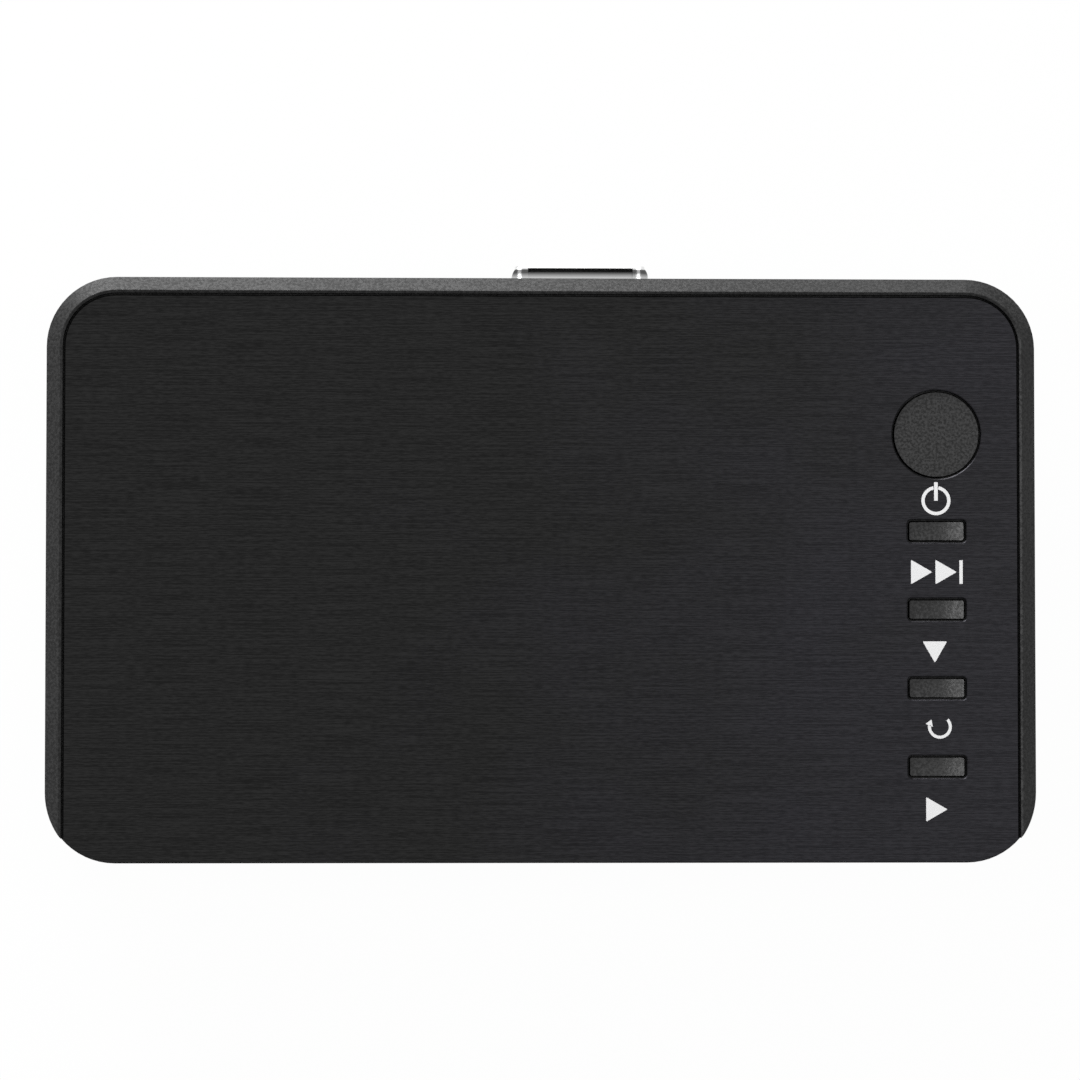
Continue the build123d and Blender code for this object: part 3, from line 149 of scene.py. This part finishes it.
class PlayerStage(bpy.types.PropertyGroup):
    """Camera, lamps and floor."""

    view_width: bpy.props.FloatProperty(
        name="View width", description="Width seen at the height of the plate",
        unit="LENGTH", default=119.7 * MM, precision=4)
    camera_distance: bpy.props.FloatProperty(
        name="Camera distance", description="From the camera to the plate",
        unit="LENGTH", default=500.0 * MM, precision=4)
    camera_tilt: bpy.props.FloatProperty(
        name="Camera tilt", description="How far the camera leans to the front",
        subtype="ANGLE", default=radians(2.35))
    camera_lean: bpy.props.FloatProperty(
        name="Camera lean", description="How far the camera leans to the left",
        subtype="ANGLE", default=radians(2.0))
    aim: bpy.props.FloatVectorProperty(
        name="Aim", description="Where the camera aims, from the middle of the case's top",
        size=2, unit="LENGTH", default=(-0.3 * MM, 3.26 * MM), precision=4)
    floor_colour: bpy.props.FloatVectorProperty(
        name="Floor", description="Colour of the floor", subtype="COLOR",
        default=(0.82, 0.82, 0.82), min=0, max=1)
    sky_strength: bpy.props.FloatProperty(
        name="Sky", description="Strength of the even light from all round",
        default=0.28, min=0)
    right_watts: bpy.props.FloatProperty(
        name="Right lamp", description="Power of the lamp at the upper right", unit="POWER",
        default=1.75, min=0)
    left_watts: bpy.props.FloatProperty(
        name="Left lamp", description="Power of the lamp at the upper left", unit="POWER",
        default=3.5, min=0)
    rear_watts: bpy.props.FloatProperty(
        name="Rear lamp", description="Power of the low lamp behind", unit="POWER",
        default=9.1, min=0)
    glow: bpy.props.FloatProperty(
        name="Floor glow", description="Share of plain white in the floor as the camera sees it",
        subtype="FACTOR", default=0.975, min=0, max=1)


class Signal:
    """One node's output, with Python's arithmetic turned into Math nodes."""

    def __init__(self, graph, socket):
        self.graph = graph
        self.socket = socket

    def _math(self, operation, first, second):
        return self.graph.node("ShaderNodeMath", {"operation": operation}, [first, second])

    def __add__(self, other):
        return self._math("ADD", self, other)

    __radd__ = __add__

    def __sub__(self, other):
        return self._math("SUBTRACT", self, other)

    def __rsub__(self, other):
        return self._math("SUBTRACT", other, self)

    def __mul__(self, other):
        return self._math("MULTIPLY", self, other)

    __rmul__ = __mul__


class Graph:
    """The node tree of one material or world."""

    def __init__(self, owner):
        owner.use_nodes = True
        self.tree = owner.node_tree
        self.tree.nodes.clear()

    def node(self, kind, settings=None, inputs=None, output=0):
        """Adds a node, sets its settings, then its sockets, and returns one output, if any."""
        made = self.tree.nodes.new(kind)
        for name, value in (settings or {}).items():
            setattr(made, name, value)
        pairs = inputs.items() if isinstance(inputs, dict) else enumerate(inputs or [])
        for name, value in pairs:
            if isinstance(value, Signal):
                self.tree.links.new(value.socket, made.inputs[name])
            else:
                made.inputs[name].default_value = value
        return Signal(self, made.outputs[output]) if made.outputs else None

    def place(self, scale=(1, 1, 1)):
        """Object coordinates, stretched by scale."""
        here = self.node("ShaderNodeTexCoord", output="Object")
        return self.node("ShaderNodeMapping", inputs={"Vector": here, "Scale": scale})

    def spread(self, value, low, high):
        """Maps a value evenly from low and high to 0 and 1, and cuts off what lies beyond."""
        inputs = {"Value": value, "From Min": low, "From Max": high}
        return self.node("ShaderNodeMapRange", {"clamp": True}, inputs)

    def plainly_seen(self):
        """One on camera, glossy and transmission rays, and zero on the others."""
        rays = ("Is Camera Ray", "Is Glossy Ray", "Is Transmission Ray")
        camera, gloss, through = [self.node("ShaderNodeLightPath", output=ray) for ray in rays]
        return self.spread(camera + gloss + through, 0.0, 1.0)

    def noise(self, scale, detail=2.0, roughness=0.5):
        """Noise between 0 and 1 that varies scale times a metre along each axis."""
        inputs = {"Vector": self.place(scale), "Scale": 1.0, "Detail": detail,
                  "Roughness": roughness}
        return self.node("ShaderNodeTexNoise", {"noise_dimensions": "3D"}, inputs)

    def tint(self, factor, low, high):
        """Colour between low and high, by a factor from 0 to 1.

        A Mix node has sockets of the same name for each kind of data, so its colour sockets are
        taken by their places: inputs 6 and 7 and output 2.
        """
        low, high = [c if isinstance(c, Signal) else (*c, 1.0) for c in (low, high)]
        return self.node("ShaderNodeMix", {"data_type": "RGBA"}, {0: factor, 6: low, 7: high}, 2)

    def bump(self, height, distance):
        """Normal disturbed by a height between 0 and 1 that stands for distance."""
        return self.node("ShaderNodeBump", inputs={"Height": height, "Distance": distance})

    def surface(self, inputs):
        """Ends the tree in a Principled shader with the given sockets."""
        shader = self.node("ShaderNodeBsdfPrincipled", inputs=inputs)
        self.node("ShaderNodeOutputMaterial", inputs={"Surface": shader})


def material(name):
    """A new material and its node graph."""
    made = bpy.data.materials.new(name)
    return made, Graph(made)


def shade(colour, factor):
    """A colour made darker or lighter by a factor."""
    return tuple(min(1.0, channel * factor) for channel in colour)


def moulded_plastic(name, colour, finish, roughness, level, contrast):
    """Moulded plastic with a fine spark-eroded grain of pits and paler grains.

    The contrast is how far the grain makes the colour darker and lighter, as a share of it.
    """
    made, graph = material(name)
    frequency = 1 / finish.grain_size
    grain = graph.noise((frequency,) * 3, detail=2.5, roughness=0.6)
    drift = graph.noise((60, 60, 60), detail=1.0)
    blend = graph.spread(grain * 0.85 + drift * 0.15, 0.42, 0.58)
    graph.surface({
        "Base Color": graph.tint(blend, shade(colour, 1 - contrast), shade(colour, 1 + contrast)),
        "Roughness": roughness + 0.10 * (1 - blend),
        "Specular IOR Level": level,
        "Normal": graph.bump(grain, finish.grain_depth),
    })
    return made


def brushed_plate(name, colour, film, finish):
    """Black anodised aluminium, brushed in long and short hairlines along X.

    The short ones are taken from another level of the noise, so they don't follow the long ones.
    The film is patchy at random, and its colour is also painted paler and bluer to the right and
    the front, by x - 0.5 y, as painted light.
    """
    made, graph = material(name)
    across = 1 / finish.hairline_width
    contrast, other_level = 0.25, 200
    gradient_starts, gradient_ends, patchiness = -12 * MM, 50 * MM, 100 * MM
    lines = graph.noise((1 / finish.hairline_length, across, 1), roughness=0.6)
    dashes = graph.noise((1 / finish.dash_length, across, other_level), roughness=0.6)
    hairlines = graph.spread(lines * 0.5 + dashes * 0.5, 0.42, 0.58)
    # Painted light: x - 0.5 y makes the plate paler and bluer to the right and the front. It
    # stands in for light that falls more on those sides.
    painted_light_slant = graph.node("ShaderNodeVectorMath", {"operation": "DOT_PRODUCT"},
                       [graph.place(), (1, -0.5, 0)], "Value")
    patches = graph.noise((45, 70, 1)) - 0.5
    # The film's tone mixes random patches with the painted light gradient.
    patches_and_painted_light = graph.spread(painted_light_slant + patchiness * patches, gradient_starts, gradient_ends)
    dark = graph.tint(patches_and_painted_light, shade(colour, 1 - contrast), shade(film, 1 - contrast))
    pale = graph.tint(patches_and_painted_light, shade(colour, 1 + contrast), shade(film, 1 + contrast))
    graph.surface({
        "Base Color": graph.tint(hairlines, dark, pale),
        "Metallic": 1.0,
        "Specular Tint": (0.55, 0.55, 0.55, 1.0),
        "Roughness": 0.34 + 0.10 * hairlines,
        "Normal": graph.bump(hairlines, 0.006 * MM),
    })
    return made


def bright_plate(name, colour, roughness):
    """Bright nickel plate over drawn sheet, with faint rubbed streaks and ripples."""
    made, graph = material(name)
    streaks = graph.noise((900, 900, 250), detail=3.0, roughness=0.6)
    ripples = graph.noise((350, 350, 350), detail=1.0)
    graph.surface({
        "Base Color": graph.tint(streaks, shade(colour, 0.88), shade(colour, 1.04)),
        "Metallic": 1.0,
        "Roughness": roughness + 0.12 * streaks,
        "Normal": graph.bump(ripples, 0.006 * MM),
    })
    return made


def nickel_with_painted_reflection(name, tip):
    """Bright nickel with painted light, by the depth tip - y behind the mouth.

    It is painted white on the lip as a painted highlight, painted near-black in the hollow behind
    it as a painted reflection of the dark case, and paler again towards the case, where it has the
    nickel's own colour.
    """
    made, graph = material(name)
    # The lip's white is a painted highlight, and the near-black behind it is a painted reflection
    # of the dark case. The pale grey is the nickel's own colour.
    painted_lip_highlight, painted_dark_reflection, pale = (0.80, 0.80, 0.80), (0.09, 0.09, 0.09), (0.55, 0.55, 0.55)
    lip_ends, hollow_starts, hollow_ends, pale_from = 0.36 * MM, 0.46 * MM, 0.80 * MM, 1.34 * MM
    depth = tip - graph.node("ShaderNodeSeparateXYZ", inputs=[graph.place()], output="Y")
    streaks = graph.noise((900, 900, 250), detail=3.0, roughness=0.6)
    # Masks by depth that place the painted dark reflection and the painted lip highlight.
    towards_case = graph.spread(depth, hollow_ends, pale_from)
    lip = graph.spread(depth, hollow_starts, lip_ends)
    graph.surface({
        "Base Color": graph.tint(lip, graph.tint(towards_case, painted_dark_reflection, pale), painted_lip_highlight),
        "Metallic": 1.0,
        "Roughness": 0.16 + 0.12 * streaks,
        "Normal": graph.bump(graph.noise((900, 900, 900)), 0.006 * MM),
    })
    return made


def rolled_metal(name, colour, roughness=0.35):
    """Plain plated sheet or wire, with rolling lines and dull patches."""
    made, graph = material(name)
    rolled = graph.noise((2500, 300, 2500))
    patches = graph.noise((250, 250, 250))
    graph.surface({
        "Base Color": graph.tint(patches, shade(colour, 0.82), shade(colour, 1.08)),
        "Metallic": 1.0,
        "Roughness": roughness + 0.15 * rolled,
        "Normal": graph.bump(rolled, 0.004 * MM),
    })
    return made


def plain_resin(name, colour, roughness, grains=3500):
    """Moulded resin or rubber with a fine even grain, by grains to a metre, and slight clouds."""
    made, graph = material(name)
    grain = graph.noise((grains,) * 3)
    clouds = graph.noise((180, 180, 180), detail=1.0)
    graph.surface({
        "Base Color": graph.tint(clouds, shade(colour, 0.85), shade(colour, 1.15)),
        "Roughness": roughness + 0.12 * grain,
        "Normal": graph.bump(grain, 0.006 * MM),
    })
    return made


def solder_resist(name, colour):
    """Green resist over copper tracks: a blocky pattern of slightly raised, paler lanes."""
    made, graph = material(name)
    blocks = graph.node("ShaderNodeTexVoronoi", {"feature": "F1", "distance": "CHEBYCHEV"},
                        {"Vector": graph.place((380, 380, 20)), "Scale": 1.0})
    copper = graph.spread(blocks, 0.36, 0.40)
    graph.surface({
        "Base Color": graph.tint(copper, colour, shade(colour, 1.9)),
        "Roughness": 0.32 + 0.12 * copper,
        "Normal": graph.bump(copper, 0.02 * MM),
    })
    return made


def smoked_window(name):
    """Smoked plastic that passes the remote control's light: glossy and almost black."""
    made, graph = material(name)
    haze = graph.noise((220, 220, 220))
    graph.surface({
        "Base Color": graph.tint(haze, (0.010, 0.003, 0.005), (0.018, 0.006, 0.009)),
        "Roughness": 0.06 + 0.06 * haze,
        "Specular IOR Level": 0.2,
    })
    return made


def printed_ink(name, colour):
    """White screen-printed ink with a slightly mottled film."""
    made, graph = material(name)
    film = graph.noise((5000, 5000, 5000))
    graph.surface({
        "Base Color": graph.tint(film, shade(colour, 0.95), shade(colour, 1.04)),
        "Roughness": 0.55 + 0.1 * film,
        "Normal": graph.bump(film, 0.003 * MM),
    })
    return made


def dress(made, *nodes):
    """Gives CAD nodes a material in all their slots."""
    for node in nodes:
        mesh = bpy.data.objects[node].data
        mesh.materials.clear()
        mesh.materials.append(made)


def closed_mesh(name, grids):
    """Makes one mesh of closed shells from grids of points.

    Each grid holds rows by columns of points in metres. Its columns join up into loops, and its
    first and last rows each fold up into a point or a line, so the shell has no open edge.
    """
    points, faces, start = [], [], 0
    for grid in grids:
        rows, columns = grid.shape[:2]
        index = start + np.arange(rows * columns).reshape(rows, columns)
        turned = np.roll(index, -1, axis=1)
        quads = np.stack([index[:-1], turned[:-1], turned[1:], index[1:]], axis=-1)
        points.append(grid.reshape(-1, 3))
        faces.append(quads.reshape(-1, 4))
        start += rows * columns
    mesh = bpy.data.meshes.new(name)
    mesh.from_pydata(np.concatenate(points), [], np.concatenate(faces).tolist())
    work = bmesh.new()
    work.from_mesh(mesh)
    bmesh.ops.remove_doubles(work, verts=work.verts, dist=MERGE_DISTANCE)
    bmesh.ops.recalc_face_normals(work, faces=work.faces)
    work.to_mesh(mesh)
    work.free()
    piece = bpy.data.objects.new(name, mesh)
    bpy.context.scene.collection.objects.link(piece)
    return piece


def arc_stroke(middle, radius, stroke, begin, end, low, height):
    """Arc of ink: a box section carried along middle + radius (cos a, sin a), a from begin to end.

    The first and last sections are folded up into a line, which closes the flat ends.
    """
    angles = np.linspace(begin, end, ARC_POINTS)
    angles = np.concatenate([angles[:1], angles, angles[-1:]])
    halves = np.full(len(angles), stroke / 2)
    halves[[0, -1]] = 0
    spokes = np.column_stack([np.cos(angles), np.sin(angles)])
    inner = middle + (radius - halves)[:, None] * spokes
    outer = middle + (radius + halves)[:, None] * spokes
    corners = [(inner, low), (inner, low + height), (outer, low + height), (outer, low)]
    loops = [np.column_stack([flat, np.full(len(flat), z)]) for flat, z in corners]
    return np.stack(loops, axis=1)


def rounded_polygon(corners, radius):
    """Outline of a convex polygon, given anticlockwise, with each corner an arc.

    Each arc's middle lies on the corner's bisector, radius away from both of its sides, and the
    arc runs from the outward normal of the side before to that of the side after.
    """
    corners = np.array(corners, dtype=float)
    sides = np.roll(corners, -1, axis=0) - corners
    sides /= np.linalg.norm(sides, axis=1)[:, None]
    normals = np.column_stack([sides[:, 1], -sides[:, 0]])
    before = np.roll(normals, 1, axis=0)
    bisector = before + normals
    half_square = 1 + np.sum(before * normals, axis=1)
    middles = corners - radius * bisector / half_square[:, None]
    first = np.arctan2(before[:, 1], before[:, 0])
    turn = (np.arctan2(normals[:, 1], normals[:, 0]) - first) % (2 * pi)
    angles = first[:, None] + turn[:, None] * np.linspace(0, 1, CORNER_POINTS)
    arcs = middles[:, None] + radius * np.stack([np.cos(angles), np.sin(angles)], axis=-1)
    return arcs.reshape(-1, 2)


def slab_grid(outline, low, height):
    """Flat slab over an outline: its middle, the outline below and above, and its middle."""
    middle = np.tile(outline.mean(axis=0), (len(outline), 1))
    rows = [(middle, low), (outline, low), (outline, low + height), (middle, low + height)]
    return np.stack([np.column_stack([flat, np.full(len(flat), z)]) for flat, z in rows])


def bar_slab(low_left, high_right, corner, low, height):
    """Upright or level bar between two of its corners."""
    (left, front), (right, rear) = low_left, high_right
    corners = [(left, front), (right, front), (right, rear), (left, rear)]
    return slab_grid(rounded_polygon(corners, corner), low, height)


def pointer(base_middle, direction, base, reach, corner, low, height):
    """Triangle that points in a direction, given in radians, from the middle of its base."""
    along = np.array([cos(direction), sin(direction)])
    side = np.array([-along[1], along[0]])
    foot = np.array(base_middle)
    corners = [foot - side * base / 2, foot + along * reach, foot + side * base / 2]
    return slab_grid(rounded_polygon(corners, corner), low, height)


def below_key(key, drop):
    """The point on the plate that lies drop in front of a key's middle."""
    low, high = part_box(f"{key}_key")
    return np.array([(low[0] + high[0]) / 2, (low[1] + high[1]) / 2 - drop])


def print_symbol(name, grids, ink):
    """Makes a printed symbol that rides with the case."""
    piece = closed_mesh(name, grids)
    piece.data.materials.append(ink)
    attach(piece, "player")


class PLAYER_OT_case(bpy.types.Operator):
    """Finish the two moulded halves of the case"""

    bl_idname = "player.case"
    bl_label = "Finish case"

    def execute(self, context):
        finish = context.scene.player_finish
        dress(moulded_plastic("Moulded case", finish.case_colour, finish,
                              roughness=0.39, level=0.15, contrast=0.55),
              "upper_housing", "lower_housing")
        return {"FINISHED"}


class PLAYER_OT_plate(bpy.types.Operator):
    """Finish the brushed top plate"""

    bl_idname = "player.plate"
    bl_label = "Finish plate"

    def execute(self, context):
        finish = context.scene.player_finish
        dress(brushed_plate("Brushed plate", finish.plate_colour, finish.film_and_painted_light_colour, finish),
              "top_plate")
        return {"FINISHED"}


class PLAYER_OT_keys(bpy.types.Operator):
    """Finish the five keys"""

    bl_idname = "player.keys"
    bl_label = "Finish keys"

    def execute(self, context):
        finish = context.scene.player_finish
        dress(moulded_plastic("Moulded round key", finish.key_colour, finish,
                              roughness=0.21, level=0.23, contrast=0.80),
              "power_key")
        dress(moulded_plastic("Moulded bar key", finish.key_colour, finish,
                              roughness=0.21, level=0.30, contrast=0.70),
              *[f"{name}_key" for name in KEY_NAMES[1:]])
        return {"FINISHED"}


class PLAYER_OT_sockets(bpy.types.Operator):
    """Finish the sockets and jacks"""

    bl_idname = "player.sockets"
    bl_label = "Finish sockets"

    def execute(self, context):
        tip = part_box("video_socket_shell")[1][1]
        # The video socket's shell gets a painted highlight on its lip and a painted dark
        # reflection behind it.
        dress(nickel_with_painted_reflection("Nickel with painted reflection", tip), "video_socket_shell")
        dress(bright_plate("Bright nickel", (0.55, 0.54, 0.53), 0.16), "bus_socket_shell")
        dress(rolled_metal("Tinned sheet", (0.62, 0.62, 0.62)), "card_socket_cover")
        dress(plain_resin("Moulded insulator", (0.014, 0.014, 0.014), 0.45),
              "video_socket_tongue", "bus_socket_tongue", "card_socket_base",
              "av_jack_body", "dc_jack_body")
        dress(rolled_metal("Gold flash", (0.86, 0.62, 0.26), 0.22),
              "video_socket_contacts", "bus_socket_contacts", "card_socket_contacts",
              "av_jack_contacts", "dc_jack_spring")
        dress(bright_plate("Turned pin", (0.72, 0.72, 0.72), 0.18), "dc_jack_pin")
        return {"FINISHED"}


class PLAYER_OT_switches(bpy.types.Operator):
    """Finish the tact switches under the keys"""

    bl_idname = "player.switches"
    bl_label = "Finish switches"

    def execute(self, context):
        dress(plain_resin("Switch resin", (0.018, 0.018, 0.018), 0.5),
              *[f"{name}_switch_base" for name in KEY_NAMES],
              *[f"{name}_switch_stem" for name in KEY_NAMES])
        dress(rolled_metal("Switch sheet", (0.66, 0.65, 0.62)),
              *[f"{name}_switch_cover" for name in KEY_NAMES],
              "switch_domes", "switch_terminals")
        return {"FINISHED"}


class PLAYER_OT_board(bpy.types.Operator):
    """Finish the main board and what stands on it"""

    bl_idname = "player.board"
    bl_label = "Finish board"

    def execute(self, context):
        finish = context.scene.player_finish
        dress(solder_resist("Solder resist", finish.board_colour), "main_board")
        dress(plain_resin("Chip resin", (0.016, 0.016, 0.017), 0.48),
              "processor", "memory_chip", "flash_chip", "coil", "capacitor_bases",
              "remote_receiver")
        dress(plain_resin("Chip parts", (0.25, 0.20, 0.14), 0.4), "small_chips")
        dress(plain_resin("Thermal pad", (0.35, 0.42, 0.55), 0.7), "thermal_pad")
        dress(rolled_metal("Anodised fins", (0.10, 0.10, 0.105), 0.42), "heat_sink")
        dress(rolled_metal("Drawn can", (0.70, 0.70, 0.70), 0.25),
              "crystal_can", "capacitor_cans")
        dress(plain_resin("Lamp lens", (0.60, 0.66, 0.72), 0.12), "status_lamp")
        return {"FINISHED"}


class PLAYER_OT_trim(bpy.types.Operator):
    """Finish the front window, the screws and the feet"""

    bl_idname = "player.trim"
    bl_label = "Finish trim"

    def execute(self, context):
        dress(smoked_window("Smoked window"), "remote_window")
        dress(rolled_metal("Zinc plate", (0.42, 0.42, 0.44), 0.30), "case_screws", "board_screws")
        dress(plain_resin("Foot rubber", (0.012, 0.012, 0.012), 0.75, 2200),
              "front_left_foot", "front_right_foot", "rear_left_foot", "rear_right_foot")
        return {"FINISHED"}


class PLAYER_OT_symbols(bpy.types.Operator):
    """Print the white symbols beside the keys"""

    bl_idname = "player.symbols"
    bl_label = "Print symbols"

    def execute(self, context):
        sizes = context.scene.player_symbols
        ink = printed_ink("Printed ink", context.scene.player_finish.ink_colour)
        plate_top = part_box("top_plate")[1][2]
        film = (plate_top, sizes.ink_height)
        shapes = (self.power, self.next, self.down, self.turn, self.play)
        for name, shape in zip(KEY_NAMES, shapes):
            print_symbol(f"{name}_symbol", shape(sizes, film), ink)
        return {"FINISHED"}

    def power(self, sizes, film):
        """A ring that is open at the top, and a bar in the opening."""
        shift, gap = 0.10 * MM, 0.07 * MM
        half_bar, bar_foot, bar_top = 0.205 * MM, -0.01 * MM, 2.05 * MM
        middle = below_key("power", sizes.below_power_key) - (shift, 0)
        opening = (half_bar + gap) / sizes.ring_radius
        ring = arc_stroke(middle, sizes.ring_radius, sizes.ring_stroke,
                          pi / 2 + opening, pi / 2 + 2 * pi - opening, *film)
        bar = bar_slab(middle + (-half_bar, bar_foot), middle + (half_bar, bar_top),
                       sizes.corner / 2, *film)
        return [ring, bar]

    def next(self, sizes, film):
        """Two triangles that point to the right, and a bar."""
        shift, rise, gap = 0.18 * MM, 0.06 * MM, 0.36 * MM
        bar_width, bar_nearer, bar_shorter = 0.37 * MM, 0.06 * MM, 0.05 * MM
        middle = below_key("next", sizes.below_bar_key) + (0, rise)
        pitch = sizes.triangle_reach + gap
        left = middle[0] - pitch - shift
        grids = [pointer((left + n * pitch, middle[1]), 0, sizes.triangle_base,
                         sizes.triangle_reach, sizes.corner, *film) for n in range(2)]
        half = sizes.triangle_base / 2 - bar_shorter
        bar_left = left + 2 * pitch - bar_nearer
        grids.append(bar_slab((bar_left, middle[1] - half),
                              (bar_left + bar_width, middle[1] + half), sizes.corner / 2, *film))
        return grids

    def down(self, sizes, film):
        """A triangle that points to the front."""
        shift, drop = 0.28 * MM, 0.11 * MM
        middle = below_key("down", sizes.below_bar_key)
        base = middle + (-shift, sizes.triangle_reach / 2 - drop)
        return [pointer(base, -pi / 2, sizes.triangle_base, sizes.triangle_reach,
                        sizes.corner, *film)]

    def turn(self, sizes, film):
        """An arc that is open at the top, with an arrowhead on its left end."""
        shift, rise = 0.25 * MM, 0.33 * MM
        arc_begins, arc_ends, head_turn = radians(172), radians(403), radians(67)
        head_left, head_rise = -1.20 * MM, 0.15 * MM
        head_base, head_reach, head_corner = 0.89 * MM, 0.70 * MM, 0.03 * MM
        middle = below_key("return", sizes.below_bar_key) + (shift, rise)
        arc = arc_stroke(middle, sizes.turn_radius, sizes.turn_stroke, arc_begins, arc_ends, *film)
        head = pointer(middle + (head_left, head_rise), head_turn, head_base, head_reach,
                       head_corner, *film)
        return [arc, head]

    def play(self, sizes, film):
        """A triangle that points to the right."""
        shift, drop = 0.12 * MM, 0.10 * MM
        middle = below_key("play", sizes.below_bar_key) - (shift, drop)
        base = middle - (sizes.triangle_reach / 2, 0)
        return [pointer(base, 0, sizes.triangle_base, sizes.triangle_reach, sizes.corner, *film)]


def area_lamp(name, watts, aim, place, size):
    """A rectangular soft lamp of a size, at a place and aimed at a point, all in metres."""
    lamp = bpy.data.lights.new(name, "AREA")
    lamp.shape = "RECTANGLE"
    lamp.size, lamp.size_y = size
    lamp.energy = watts
    thing = bpy.data.objects.new(name, lamp)
    thing.location = place
    thing.rotation_euler = (Vector(aim) - Vector(place)).to_track_quat("-Z", "Y").to_euler()
    bpy.context.scene.collection.objects.link(thing)


class PLAYER_OT_stage(bpy.types.Operator):
    """Set up the floor, the even sky, the lamps and the camera"""

    bl_idname = "player.stage"
    bl_label = "Set stage"

    def execute(self, context):
        stage = context.scene.player_stage
        self.sky(context.scene, stage)
        self.floor(stage)
        top = cad_box[1][2]
        middle = (0, 0, top)
        area_lamp("Right lamp", stage.right_watts, middle,
                  place=(0.52, 0.07, 0.85), size=(0.22, 0.46))
        area_lamp("Left lamp", stage.left_watts, middle,
                  place=(-0.77, 0.00, 0.64), size=(0.30, 0.50))
        area_lamp("Rear lamp", stage.rear_watts, middle,
                  place=(-0.18, 0.62, 0.16), size=(0.50, 0.26))
        self.camera(context.scene, stage, top)
        context.scene.view_settings.view_transform = "Standard"
        return {"FINISHED"}

    def sky(self, scene, stage):
        """Even white light that the camera, gloss and glass see as plain white."""
        scene.world = bpy.data.worlds.new("Studio")
        graph = Graph(scene.world)
        strength = stage.sky_strength + (1 - stage.sky_strength) * graph.plainly_seen()
        inputs = {"Color": (1, 1, 1, 1), "Strength": strength}
        light = graph.node("ShaderNodeBackground", inputs=inputs)
        graph.node("ShaderNodeOutputWorld", inputs={"Surface": light})

    def floor(self, stage):
        """A pale disc, x = r cos a and y = r sin a, that still shows soft shadows."""
        angles = np.linspace(0, 2 * pi, FLOOR_SIDES, endpoint=False)
        rim = FLOOR_RADIUS * np.column_stack([np.cos(angles), np.sin(angles), 0 * angles])
        mesh = bpy.data.meshes.new("floor")
        mesh.from_pydata(rim, [], [list(range(len(rim)))])
        floor = bpy.data.objects.new("floor", mesh)
        bpy.context.scene.collection.objects.link(floor)
        made, graph = material("Floor")
        cloud = graph.noise((3, 3, 3))
        pale = graph.tint(cloud, stage.floor_colour, shade(stage.floor_colour, 1.02))
        diffuse = graph.node("ShaderNodeBsdfDiffuse", inputs={"Color": pale})
        glow = graph.node("ShaderNodeEmission", inputs={"Color": (1, 1, 1, 1), "Strength": 1.0})
        share = stage.glow * graph.plainly_seen()
        mixed = graph.node("ShaderNodeMixShader", inputs=[share, diffuse, glow])
        graph.node("ShaderNodeOutputMaterial", inputs={"Surface": mixed})
        mesh.materials.append(made)

    def camera(self, scene, stage, top):
        """A long lens almost straight above, leaning a little to the front and the left."""
        low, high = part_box("upper_housing")
        aim = Vector((stage.aim[0], (low[1] + high[1]) / 2 + stage.aim[1], top))
        lens = bpy.data.cameras.new("Camera")
        lens.lens = lens.sensor_width * stage.camera_distance / stage.view_width
        lens.clip_end = 20.0
        camera = bpy.data.objects.new("Camera", lens)
        turn = Euler((stage.camera_tilt, -stage.camera_lean, 0))
        camera.location = aim + turn.to_matrix() @ Vector((0, 0, stage.camera_distance))
        camera.rotation_euler = turn
        scene.collection.objects.link(camera)
        scene.camera = camera


class PLAYER_PT_sidebar(bpy.types.Panel):
    """Lists the steps that dress the player"""

    bl_idname = "PLAYER_PT_sidebar"
    bl_label = "Pocket media player"
    bl_space_type = "VIEW_3D"
    bl_region_type = "UI"
    bl_category = "Player"

    def draw(self, context):
        for step in STEPS:
            self.layout.operator(step.bl_idname)
        for group in (context.scene.player_finish, context.scene.player_symbols,
                      context.scene.player_stage):
            for name in group.__annotations__:
                self.layout.prop(group, name)


STEPS = (
    PLAYER_OT_case,
    PLAYER_OT_plate,
    PLAYER_OT_keys,
    PLAYER_OT_sockets,
    PLAYER_OT_switches,
    PLAYER_OT_board,
    PLAYER_OT_trim,
    PLAYER_OT_symbols,
    PLAYER_OT_stage,
)
GROUPS = {
    "player_finish": PlayerFinish,
    "player_symbols": PlayerSymbols,
    "player_stage": PlayerStage,
}


def register():
    """Registers the settings, the steps and the panel."""
    for name, group in GROUPS.items():
        bpy.utils.register_class(group)
        setattr(bpy.types.Scene, name, bpy.props.PointerProperty(type=group))
    for step in STEPS:
        bpy.utils.register_class(step)
    bpy.utils.register_class(PLAYER_PT_sidebar)


def unregister():
    """Takes the panel, the steps and the settings away again."""
    bpy.utils.unregister_class(PLAYER_PT_sidebar)
    for step in reversed(STEPS):
        bpy.utils.unregister_class(step)
    for name, group in GROUPS.items():
        delattr(bpy.types.Scene, name)
        bpy.utils.unregister_class(group)


def main():
    """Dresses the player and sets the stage."""
    register()
    bpy.ops.player.case()
    bpy.ops.player.plate()
    bpy.ops.player.keys()
    bpy.ops.player.sockets()
    bpy.ops.player.switches()
    bpy.ops.player.board()
    bpy.ops.player.trim()
    bpy.ops.player.symbols()
    bpy.ops.player.stage()


if __name__ == "__main__":
    main()
